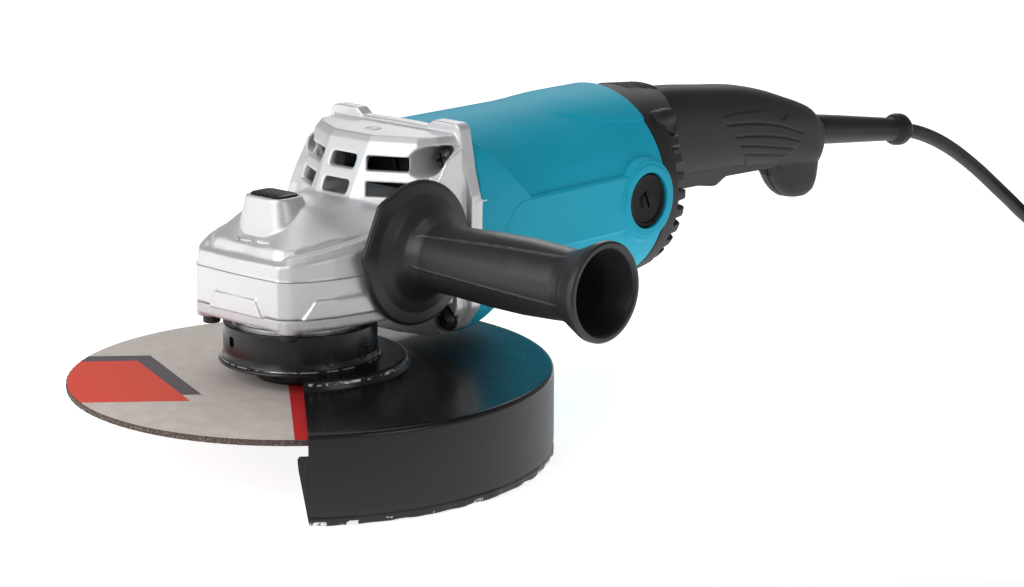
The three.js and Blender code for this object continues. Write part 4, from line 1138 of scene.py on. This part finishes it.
def motor_housing():
    sides = 480
    angle = around(sides)
    c, s = np.cos(angle), np.sin(angle)
    square = HOUSING_RADIUS / (np.abs(c) ** 4 + np.abs(s) ** 4) ** 0.25
    shoulder = 127 - 0.93 * np.abs(square * s)
    # the square foot gives way to the round barrel along a line that leans back towards the sides
    steps = [(0, 0.0), (0.5, 0.012), (1, 0.03), (2, 0.1), (3, 0.3), (4, 0.6), (5, 0.87), (6, 0.97), (7, 1.0)]
    chamfer = 0.5
    start = HOUSING_FRONT + chamfer
    rings = [(HOUSING_FRONT, square - chamfer)]
    rings += [(start + share * (shoulder - 4 - start), square) for share in (0, 0.25, 0.5, 0.75)]
    rings += [(shoulder - 4 + along, square + share * (HOUSING_RADIUS - square)) for along, share in steps]
    # the back of the barrel's top stands a little higher, above a line that runs down to the rear
    degrees = np.degrees(np.arctan2(s, np.abs(c)))
    for x in np.concatenate([np.linspace(132, 214, 42), [HOUSING_BACK - 0.6, HOUSING_BACK]]):
        edge = np.interp(x, [150, 158, 183, 212], [68, 66, 52, 47])
        rise = 1.5 * ease((x - 150) / 40) * ease((degrees - edge) / 3.0 + 0.5)
        radius = HOUSING_RADIUS + rise - (0.5 if x == HOUSING_BACK else 0)
        rings.append((np.maximum(x, shoulder + 4 if x < 150 else 0), radius))
    body = skin([on_axis("x", r * c, MOTOR + r * s, np.broadcast_to(x, (sides,))) for x, r in rings])

    for side in (1, -1):
        # a flat name panel whose outline is cut off at the front, and the seat of the brush cap
        wide = [(90.6, 66.5, 4), (97, 51.6, 5), (190, 51.6), (190, 81.4), (104, 81.4, 2), (96.6, 77.6, 4)]
        slim = [(91.8, 66.5, 4), (97.6, 52.8, 5), (190, 52.8), (190, 80.2), (104.4, 80.2, 2), (97.6, 76.6, 4)]
        panel = skin([
            on_axis("y", *np.array(soft(outline, True)).T, side * out)
            for outline, out in ((wide, 45.0), (wide, 52.2), (slim, 53.25))
        ])
        ring = revolve("y", [
            (0, side * 40), (22.6, side * 40), (22.6, side * 50.5), (21.2, side * 53.6, 1.2), (19.4, side * 53.8, 0.6),
            (18.7, side * 54.5, 0.5), (15.6, side * 54.5, 0.4), (0, side * 54.5),
        ], BRUSH_AT, 128)
        join(body, panel, ring)
    cut(body, rod("x", 48.3, 70, 212, MOTOR_AT, 96))
    join(body, rod("x", 17, 213, 229.5, MOTOR_AT, 64))
    vents = [
        turn(block(210, 220, 20, 44, MOTOR - 12, MOTOR + 12, 3, "x"), degrees, "X", MOTOR_AT)
        for degrees in (45, 135, 225, 315)
    ]
    tools = [rod("x", 13.3, 219, 232, MOTOR_AT, 64), rod("x", 8, 210, 232, MOTOR_AT, 48), *vents]
    for side in (1, -1):
        tools.append(rod("y", 10.7, *one_side(side, 38, 56), BRUSH_AT, 64))
        tools.append(rod("y", 15.0, *one_side(side, 50.5, 56), BRUSH_AT, 96))
    for sy, sz in CORNERS:
        tools.append(rod("x", 3.3, 70, 83, screw_at(sy, sz), 24))
    cut(body, *tools)
    piece(body, "teal_housing", "machine", "teal_plastic", TEAL, "motor_housing", sharp=26)


def brush_cap(side, name):
    cap = revolve("y", [
        (0, side * 42.3), (10.4, side * 42.3), (10.4, side * 50.8), (14.7, side * 50.8), (14.7, side * 52.7, 0.5),
        (13.6, side * 53.5, 0.6), (12.2, side * 53.3, 0.4), (11.6, side * 52.7, 0.3), (0, side * 52.7),
    ], BRUSH_AT, 96)
    mound = revolve("y", [(0, side * 52), (4.9, side * 52), (4.6, side * 53.2, 0.5), (0, side * 53.2)], BRUSH_AT, 64)
    join(cap, mound)
    slot = block(BRUSH_X - 0.75, BRUSH_X + 0.75, *one_side(side, 51.2, 55), MOTOR - 4.6, MOTOR + 4.6, 0.3, "y")
    cut(cap, turn(slot, -CAP_SLOT_TURN, "Y", BRUSH_AT))
    piece(cap, f"brush_screw_{name}", "machine", "black_plastic", CAP, f"brush_cap_{name}")


motor_housing()
brush_cap(1, "left")
brush_cap(-1, "right")


# ---------- rear cover ----------
def cover_solid(grow, start, count=120):
    """The rear cover as a solid that starts at start, its skin moved outwards by grow."""
    angle = around(count)
    c, s = np.cos(angle), np.sin(angle)

    def ring(share, radius):
        reach = (20 + 28 * np.maximum(0, s * radius / HOUSING_RADIUS) ** 3) * abs(share) + grow
        x = np.full(count, float(start)) if share < 0 else HOUSING_BACK + GAP + reach
        r = radius - 0.09 * (x - HOUSING_BACK) + grow
        return on_axis("x", r * c, MOTOR + r * s, x)

    shares = [(-1, HOUSING_RADIUS), (0.25, HOUSING_RADIUS + 0.2), (0.5, HOUSING_RADIUS + 0.3),
              (0.8, HOUSING_RADIUS - 0.1), (0.94, HOUSING_RADIUS - 0.8), (1, HOUSING_RADIUS - 4), (1, 24)]
    return skin([ring(*share) for share in shares])


def rear_cover():
    body = cover_solid(0, HOUSING_BACK + GAP)
    for side in (1, -1):
        # the bump over each handle screw's nut, with a recess under it
        bump = revolve("x", [(0, 228), (4, 228), (4.9, 234, 4), (4.9, 241, 3), (0, 243)], (0, side * 35.2, 103.6), 48)
        join(body, bump)
    inner = cover_solid(-3.2, HOUSING_BACK - 2, 60)
    wires = rod("x", 9, 225, 300, (0, 0, 84), 48)
    notches = [turn(block(229, 240, 44, 56, MOTOR - 2.1, MOTOR + 2.1, 0.6, "y"), -205 + 11 * k, "X", MOTOR_AT)
               for k in range(22)]
    recesses = [block(233, 243, *one_side(side, 37.5, 46), 94, 100.5, 1.5, "y") for side in (1, -1)]
    cut(body, inner, wires, *notches, *recesses)
    cast(body, 0.75, 3, 0.6)
    ribs = []
    for k in range(7):
        # short grip ridges across the top, where the thumb rests
        x = 236 + 3.6 * k
        radius = HOUSING_RADIUS + 0.2 - 0.09 * (x - HOUSING_BACK)
        arc = np.radians(np.linspace(76, 104, 25))
        rings = []
        for a in arc:
            fade = min(1, (math.radians(14) - abs(a - math.pi / 2)) / 0.05)
            section = []
            for height, across in ((-0.8, -0.8), (0.3, -0.7), (0.5, -0.3), (0.5, 0.3), (0.3, 0.7), (-0.8, 0.8)):
                r = radius + (height if height < 0 else height * fade - 0.1 * (1 - fade))
                section.append((x + across, r * math.cos(a), MOTOR + r * math.sin(a)))
            rings.append(section)
        ribs.append(skin(rings))
    join(body, *ribs)
    piece(body, "rear_cover_shell", "machine", "black_plastic", BLACK, "rear_cover", sharp=40)


rear_cover()

# ---------- rear handle ----------
HANDLE_START, HANDLE_END, HOOK_END = 228.0, 417.5, 32.2
PIVOT_X = 367.0
# Along the bar: x, lower and upper edge, half width. Down the hook: z, front and back edge, half width.
HANDLE_BAR = [
    (HANDLE_START, 58, 111.5, 18.5), (275, 58, 112, 18.5), (310, 57.5, 108.3, 18.5), (340, 56.5, 104.6, 19),
    (362, 54, 99.6, 19.2), (383, 50, 93, 18.5), (397, 46.5, 88.3, 16.8), (407, 46, 84, 14.5), (414, 50, 78.5, 11.8),
    (HANDLE_END, 56, 77, 9.8),
]
HANDLE_HOOK = [
    (66, 371, 412, 15), (55, 370, 416, 14), (46, 375.5, 415.5, 13), (39, 381, 413.5, 12), (35, 385.5, 411, 10.5),
    (HOOK_END, 390, 406.5, 8),
]
HANDLE_SCREWS = [(348, 90), (392, 62)]
# Side view of the soft grip's edge, and its finger grooves.
GRIP_EDGE = [
    (307.9, 91.8), (322, 92.2), (337.6, 91.4), (352.8, 90.3), (355.6, 88.6), (357.8, 85.8), (361, 84.1), (365.5, 83.6),
    (368.4, 85.7), (372.4, 84), (376.3, 81), (383.5, 74.1), (383.4, 71.5), (382.7, 69.4), (377, 64.8), (371.3, 62),
    (365.6, 59.8), (340, 58.5),
]
GRIP_GROOVES = [
    [(309.9, 87.4), (337.8, 85.1), (360.9, 80.7), (382.5, 73.6)],
    [(310.1, 79.9), (338.1, 77.8), (361.1, 74.1), (380.8, 69.1)],
    [(310.3, 75.2), (338.3, 71.9), (365.3, 67.2), (378, 64.6)], [(310.4, 70.7), (338.5, 66.9), (371.3, 61.9)],
]
HOOK_SEAM = [(361, 57), (366.5, 53), (370, 47), (375, 40), (379, 33)]


def through_rows(rows, count):
    """More rows along a table whose first column always grows or always falls, on a smooth line."""
    rows = np.array(rows, float)
    sign = 1 if rows[-1, 0] > rows[0, 0] else -1
    at = rows[:, 0] * sign
    slopes = np.gradient(rows[:, 1:], at, axis=0)
    places = np.linspace(at[0], at[-1], count)
    k = np.clip(np.searchsorted(at, places, side="right") - 1, 0, len(at) - 2)
    span = (at[k + 1] - at[k])[:, None]
    t = (places - at[k])[:, None] / span
    h00, h10 = 2 * t**3 - 3 * t**2 + 1, t**3 - 2 * t**2 + t
    h01, h11 = -2 * t**3 + 3 * t**2, t**3 - t**2
    values = h00 * rows[k, 1:] + h10 * span * slopes[k] + h01 * rows[k + 1, 1:] + h11 * span * slopes[k + 1]
    return np.column_stack([places * sign, values])


def handle_solid(inset, sides=96, rows=70):
    angle = around(sides)
    u = np.sign(np.cos(angle)) * np.abs(np.cos(angle)) ** 0.84
    v = np.sign(np.sin(angle)) * np.abs(np.sin(angle)) ** 0.84
    rings = []
    for x, low, high, wide in through_rows(HANDLE_BAR, rows):
        middle, half = (low + high) / 2, (high - low) / 2 - inset
        rings.append(on_axis("x", u * (wide - inset), middle + v * half, min(x, HANDLE_END - inset)))
    bar = skin(rings)
    rings = []
    for z, front, back, wide in through_rows(HANDLE_HOOK, max(12, rows // 3)):
        middle, half = (front + back) / 2, (back - front) / 2 - inset
        rings.append(on_axis("z", middle + u * half, v * (wide - inset), max(z, HOOK_END + inset)))
    return join(bar, skin(rings))


CORD_SLOPE = 7.6
RELIEF_START = (HANDLE_END, 0, 68.5)


def along_relief(obj):
    turn(obj, CORD_SLOPE, "Y")
    return shift(obj, *RELIEF_START)


def distance_to(line, points, closed=False):
    """How far each point is from a broken line."""
    line = np.array(line, float)
    ends = np.roll(line, -1, 0) if closed else line[1:]
    starts = line if closed else line[:-1]
    best = np.full(len(points), 1e9)
    for a, b in zip(starts, ends):
        t = np.clip(((points - a) @ (b - a)) / ((b - a) @ (b - a)), 0, 1)
        best = np.minimum(best, np.linalg.norm(points - (a + t[:, None] * (b - a)), axis=1))
    return best


def inside_of(outline, points):
    """Which points lie inside a closed outline."""
    outline = np.array(outline, float)
    inside = np.zeros(len(points), bool)
    for a, b in zip(outline, np.roll(outline, -1, 0)):
        crosses = (a[1] > points[:, 1]) != (b[1] > points[:, 1])
        with np.errstate(divide="ignore", invalid="ignore"):
            at = (b[0] - a[0]) * (points[:, 1] - a[1]) / (b[1] - a[1]) + a[0]
        inside ^= crosses & (points[:, 0] < at)
    return inside


def handle_whole():
    """Both halves in one: hollow, open below for the trigger, with its screw bosses."""
    body = handle_solid(0)
    cut(body, cover_solid(0.6, HOUSING_BACK - 5, 90))
    cast(body, 0.58, 5)
    below = block(HANDLE_START - 1, PIVOT_X + 8, -10.6, 10.6, 30, 69, 1.0, "x")
    cut(body, handle_solid(3.4, 48, 40), below)
    bosses = [keep(rod("y", 6, -16, 16, (x, 0, z)), handle_solid(2, 48, 40)) for x, z in HANDLE_SCREWS]
    join(body, *bosses)
    return body


def grip_relief(places, normals):
    """Heights of the soft grip: a raised field with a rounded edge, grooves across it and seams."""
    flat = places[:, [0, 2]]
    side = np.abs(places[:, 1]) > 4
    outer = np.abs(normals[:, 1]) > 0.05
    away = distance_to(GRIP_EDGE, flat, True)
    inside = inside_of(GRIP_EDGE, flat)
    signed = np.where(inside, away, -away)
    height = 0.6 * ease((signed + 0.45) / 0.9)
    for line in GRIP_GROOVES:
        height -= 0.75 * ease(1 - distance_to(through(line, 6), flat) / 1.15) * inside
    height -= 0.45 * ease(1 - distance_to(HOOK_SEAM, flat) / 0.9)
    return np.where(side & outer, height, 0)


def handle_shell(whole, side, name):
    body = twin_of(whole)
    half = block(200, 500, *one_side(side, GAP / 2, 60), 0, 150)
    relief_hole = along_relief(rod("x", 8.7, -20, 3, sides=64))
    holes = [rod("y", 2.8, -14, 30, (x, 0, z), 32) for x, z in HANDLE_SCREWS]
    recesses = [rod("y", 4.6, 13, 30, (x, 0, z), 48) for x, z in HANDLE_SCREWS]
    cut(body, relief_hole, *holes, *recesses)
    keep(body, half)

    def change(places):
        normals = normals_of(body)
        height = grip_relief(places, normals)
        # the halves meet in a shallow V
        seam = np.abs(places[:, 1])
        outer = np.abs(normals[:, 1]) < 0.9
        inwards = 0.35 * ease(1 - (seam - GAP / 2) / 0.8) * outer
        return places + normals * (height - inwards)[:, None]

    moved_by(body, change)
    piece(body, f"handle_half_{name}", "machine", "black_plastic", BLACK, f"handle_shell_{name}", sharp=45)


def handle_screw(k, x, z):
    body = revolve("y", [(0, -12), (2.5, -12), (2.5, 13.3), (4.3, 13.3, 0.2), (4.3, 15, 0.8), (3.2, 16, 0.6), (0, 16)],
                   (x, 0, z), 48)
    for wide, tall in ((2.7, 0.55), (0.55, 2.7)):
        cut(body, block(x - wide, x + wide, 14.2, 17, z - tall, z + tall))
    piece(body, f"shell_screw_{k}", "machine", "black_steel", SCREW_STEEL, f"handle_screw_{k}")


def trigger():
    outline = soft([
        (250, 64), (250, 56, 1), (262, 54.4, 4), (298, 53.4, 8), (310, 51.4, 4), (314, 51.2, 3), (323, 55.2, 5),
        (PIVOT_X - 3, 54, 1), (PIVOT_X + 3, 55, 1.5), (PIVOT_X + 3, 59, 1.5), (PIVOT_X - 3, 60, 2), (334, 60.5, 3),
        (322, 64, 2),
    ], True)
    body = prism("y", outline, -10, 10)
    grooves = [block(264 + 5 * k, 265.4 + 5 * k, -7, 7, 50, 55.0 - 0.028 * (5 * k), 0.4) for k in range(6)]
    cut(body, block(295.7, 311.3, -4.3, 4.3, 40, 80), *grooves)
    piece(body, "trigger_paddle", "trigger", "black_plastic", GRIP, "trigger_lever")


def lock_off():
    body = block(296, 306, -4, 4, 54.6, 64.6, 1.0)
    join(body, block(297, 305, -7.5, 7.5, 64.5, 66.6, 1.0, "x"))
    cut(body, *[block(297.6 + 2.2 * k, 298.5 + 2.2 * k, -5, 5, 54, 55.1) for k in range(4)])
    piece(body, "lock_off_button", "lock_off", "black_plastic", CAP, "lock_off_slide")


def switch_block():
    body = block(272, 316, -10.5, 10.5, 74, 98, 1.5, "x")
    cut(body, *[block(280 + 9 * k, 284 + 9 * k, -12, -10.1, 78, 94) for k in range(4)])
    piece(body, "switch_block", "machine", "black_plastic", CAP, "switch_body")


def relief_sleeve():
    body = revolve("x", [
        (0, -12), (8.4, -12), (8.4, -1), (8.9, 2, 1), (8.6, 20), (7.0, 79.5), (7.1, 82, 1), (8.6, 83.5, 1),
        (9.8, 86, 1.2), (9.8, 90.4, 1.2), (8.2, 93.6, 1.2), (6.5, 94.4, 1), (4.4, 94.4, 0.4), (0, 94.4),
    ], sides=96)
    seams = [block(2, 83, -0.25, 0.25, *one_side(sign, 6, 12)) for sign in (1, -1)]
    shallow = revolve("x", [(0, 1), (8.75, 1), (8.75, 2), (8.45, 20), (6.85, 79.5), (6.9, 84), (0, 84)], sides=96)
    for seam in seams:
        cut(seam, twin_of(shallow))
    bpy.data.objects.remove(shallow)
    cut(body, *seams)
    along_relief(body)
    piece(body, "relief_sleeve", "machine", "rubber", RUBBER, "strain_relief")


whole_handle = handle_whole()
handle_shell(whole_handle, 1, "left")
handle_shell(whole_handle, -1, "right")
bpy.data.objects.remove(whole_handle)
for k, (x, z) in enumerate(HANDLE_SCREWS, 1):
    handle_screw(k, x, z)
trigger()
lock_off()
switch_block()
relief_sleeve()

# ---------- side handle ----------
SIDE_ROOT = 49.6
FLANGE_EDGE = 35.7
# Half section of the grip: radius and distance from the head, out along the outside and back into the hollow.
SIDE_PROFILE = [
    (34.6, 0, 0.4), (35.7, 1.0, 0.8), (35.7, 2.6, 0.8), (34.4, 3.6, 1), (29, 4.6, 6), (22.6, 7.2, 7), (18.6, 11.5, 7),
    (16.9, 18, 10), (16.9, 32, 20), (18.0, 56, 20), (18.2, 76, 20), (17.4, 94, 16), (16.9, 102, 8), (18.0, 106.5, 5),
    (21.6, 114.2, 5), (23.9, 119.2, 1.6), (23.9, 121.6, 1.0), (23, 122.4, 0.8), (21.2, 122.4, 0.7), (20.2, 121.2, 1),
    (18.6, 116, 4), (15.8, 108, 8), (13.6, 95, 8), (13.2, 92.6, 1),
]


def side_handle():
    line = np.array(soft(SIDE_PROFILE, False, 6))
    fine = [line[0]]
    for a, b in zip(line, line[1:]):
        steps = max(1, int(np.linalg.norm(b - a) / 0.9))
        fine += [a + (b - a) * k / steps for k in range(1, steps + 1)]
    radius, along = np.array(fine).T
    outside = np.arange(len(radius)) <= np.argmax(along)
    angle = around(360)
    degrees = np.degrees(angle)
    # the flange's edge is cut off flat on one side, with a rounded lobe either side of the flat
    lobe = ease((degrees - 118) / 17) * ease((191 - degrees) / 17)
    chord = 35.35 / np.maximum(0.2, np.cos(np.radians(degrees - 154.5)))
    flange_share = (FLANGE_EDGE + lobe * (np.minimum(chord, 37.5) - FLANGE_EDGE)) / FLANGE_EDGE - 1
    rings = []
    for r, h, out in zip(radius, along, outside):
        share = ease((r - 27) / 8.0) * (h < 12)
        reach = r * (1 + share * flange_share)
        if out and 12.5 < h < 110:
            # a name panel: a fine raised line along a rounded rectangle, its field a little sunk
            across = (degrees - 159.8) * math.pi / 180 * r
            wide = 8.2 + 0.045 * (h - 12)
            dx = np.maximum(np.abs(across) - (wide - 3), 0)
            dy = max(abs(h - 61.5) - 45, 0)
            away = np.abs(np.hypot(dx, dy) - 3 + np.where((dx == 0) & (dy == 0), -1.5, 0))
            reach = reach + 0.42 * ease(1 - away / 0.8) - 0.12 * (np.hypot(dx, dy) < 3)
        rings.append(ring_on("y", reach, angle, -SIDE_ROOT - h))
    body = shift(skin(rings), *SIDE_HANDLE_AT)
    cut(body, rod("y", 6.6, -SIDE_ROOT - 26, -SIDE_ROOT + 1, SIDE_HANDLE_AT, 64))
    piece(body, "side_grip", "machine", "grip_plastic", GRIP, "side_handle_grip", sharp=50)


def threaded_stud():
    heights = np.arange(-SIDE_ROOT - 25, -SIDE_ROOT + 15.01, 0.25)
    body = shift(skin([thread_ring("y", 6.3, 0.55, around(48), h) for h in heights]), *SIDE_HANDLE_AT)
    piece(body, "threaded_stud", "machine", "steel", STEEL, "side_handle_stud")


side_handle()
threaded_stud()

# ---------- kept CAD pieces ----------
INSIDE = (
    (STEEL, "spindle_bearing_lower spindle_bearing_upper bevel_gear bevel_pinion shaft_lock_pin shaft_lock_spring "
            "armature_shaft front_armature_bearing rear_armature_bearing brush_spring_left brush_spring_right"),
    (COPPER, "front_winding rear_winding commutator field_coil_upper field_coil_lower"),
    (LAMINATED, "armature_core field_core"),
    (BLACK, "cooling_fan fan_baffle"),
    (BRASS, "brush_holder_left brush_holder_right"),
    (CARBON, "carbon_brush_left carbon_brush_right"),
)
for material, names in INSIDE:
    for name in names.split():
        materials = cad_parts[name].data.materials
        materials.clear()
        materials.append(material)


# ---------- light ----------
def area_light(name, place, aim, size, power):
    data = bpy.data.lights.new(name, "AREA")
    data.shape = "RECTANGLE"
    data.size, data.size_y = size
    data.energy = power
    light = bpy.data.objects.new(name, data)
    light.location = place
    light.rotation_euler = (Vector(aim) - Vector(place)).to_track_quat("-Z", "Y").to_euler()
    scene.collection.objects.link(light)


def floor_material():
    s = Shade("studio_floor", Roughness=0.9, Specular_IOR_Level=0.1, Emission_Color=(1, 1, 1, 1))
    s.colour(s.ramp(s.node("TexNoise", {"Vector": s.place, "Scale": 3.0}).outputs[0], (0, 0.76), (1, 0.79)))
    # painted light: the floor glows, brighter behind the object and paler grey in front of it
    x, y, _ = s.node("SeparateXYZ", {0: s.place}).outputs
    s.set("Emission Strength", s.span(s.math("MULTIPLY_ADD", x, 0.94, y), -0.60, -0.34, 0.10, 0.80))
    return s.material


def studio():
    below = -0.0004
    corners = [(-12, -12, below), (14, -12, below), (14, 14, below), (-12, 14, below)]
    floor = mesh_object("studio_floor", corners, [(0, 1, 2, 3)])
    floor.data.materials.append(floor_material())
    area_light("key", (-2.0, 0.25, 1.25), (-0.05, 0, 0.08), (1.8, 1.7), 30)
    area_light("left", (-1.7, 1.7, 0.6), (-0.1, 0, 0.08), (1.8, 0.9), 5)
    area_light("fill", (-0.2, -2.3, 0.9), (0.05, 0, 0.06), (1.2, 0.8), 5)
    area_light("top", (0.1, 0.3, 2.3), (0.05, 0, 0.05), (1.8, 0.9), 7)
    area_light("back", (1.9, 1.4, 1.3), (0.1, 0, 0.08), (1.2, 1.0), 10)
    world = bpy.data.worlds.new("studio")
    scene.world = world
    world.use_nodes = True
    sky = Nodes(world.node_tree, "Background")
    height = sky.node("SeparateXYZ", {0: sky.node("TexCoord").outputs["Generated"]}).outputs[2]
    sky.set("Color", sky.ramp(height, (0, 1), (0.75, (0.45, 0.46, 0.48))))
    sky.last.inputs["Strength"].default_value = 0.32
    scene.view_settings.view_transform = "Standard"


studio()
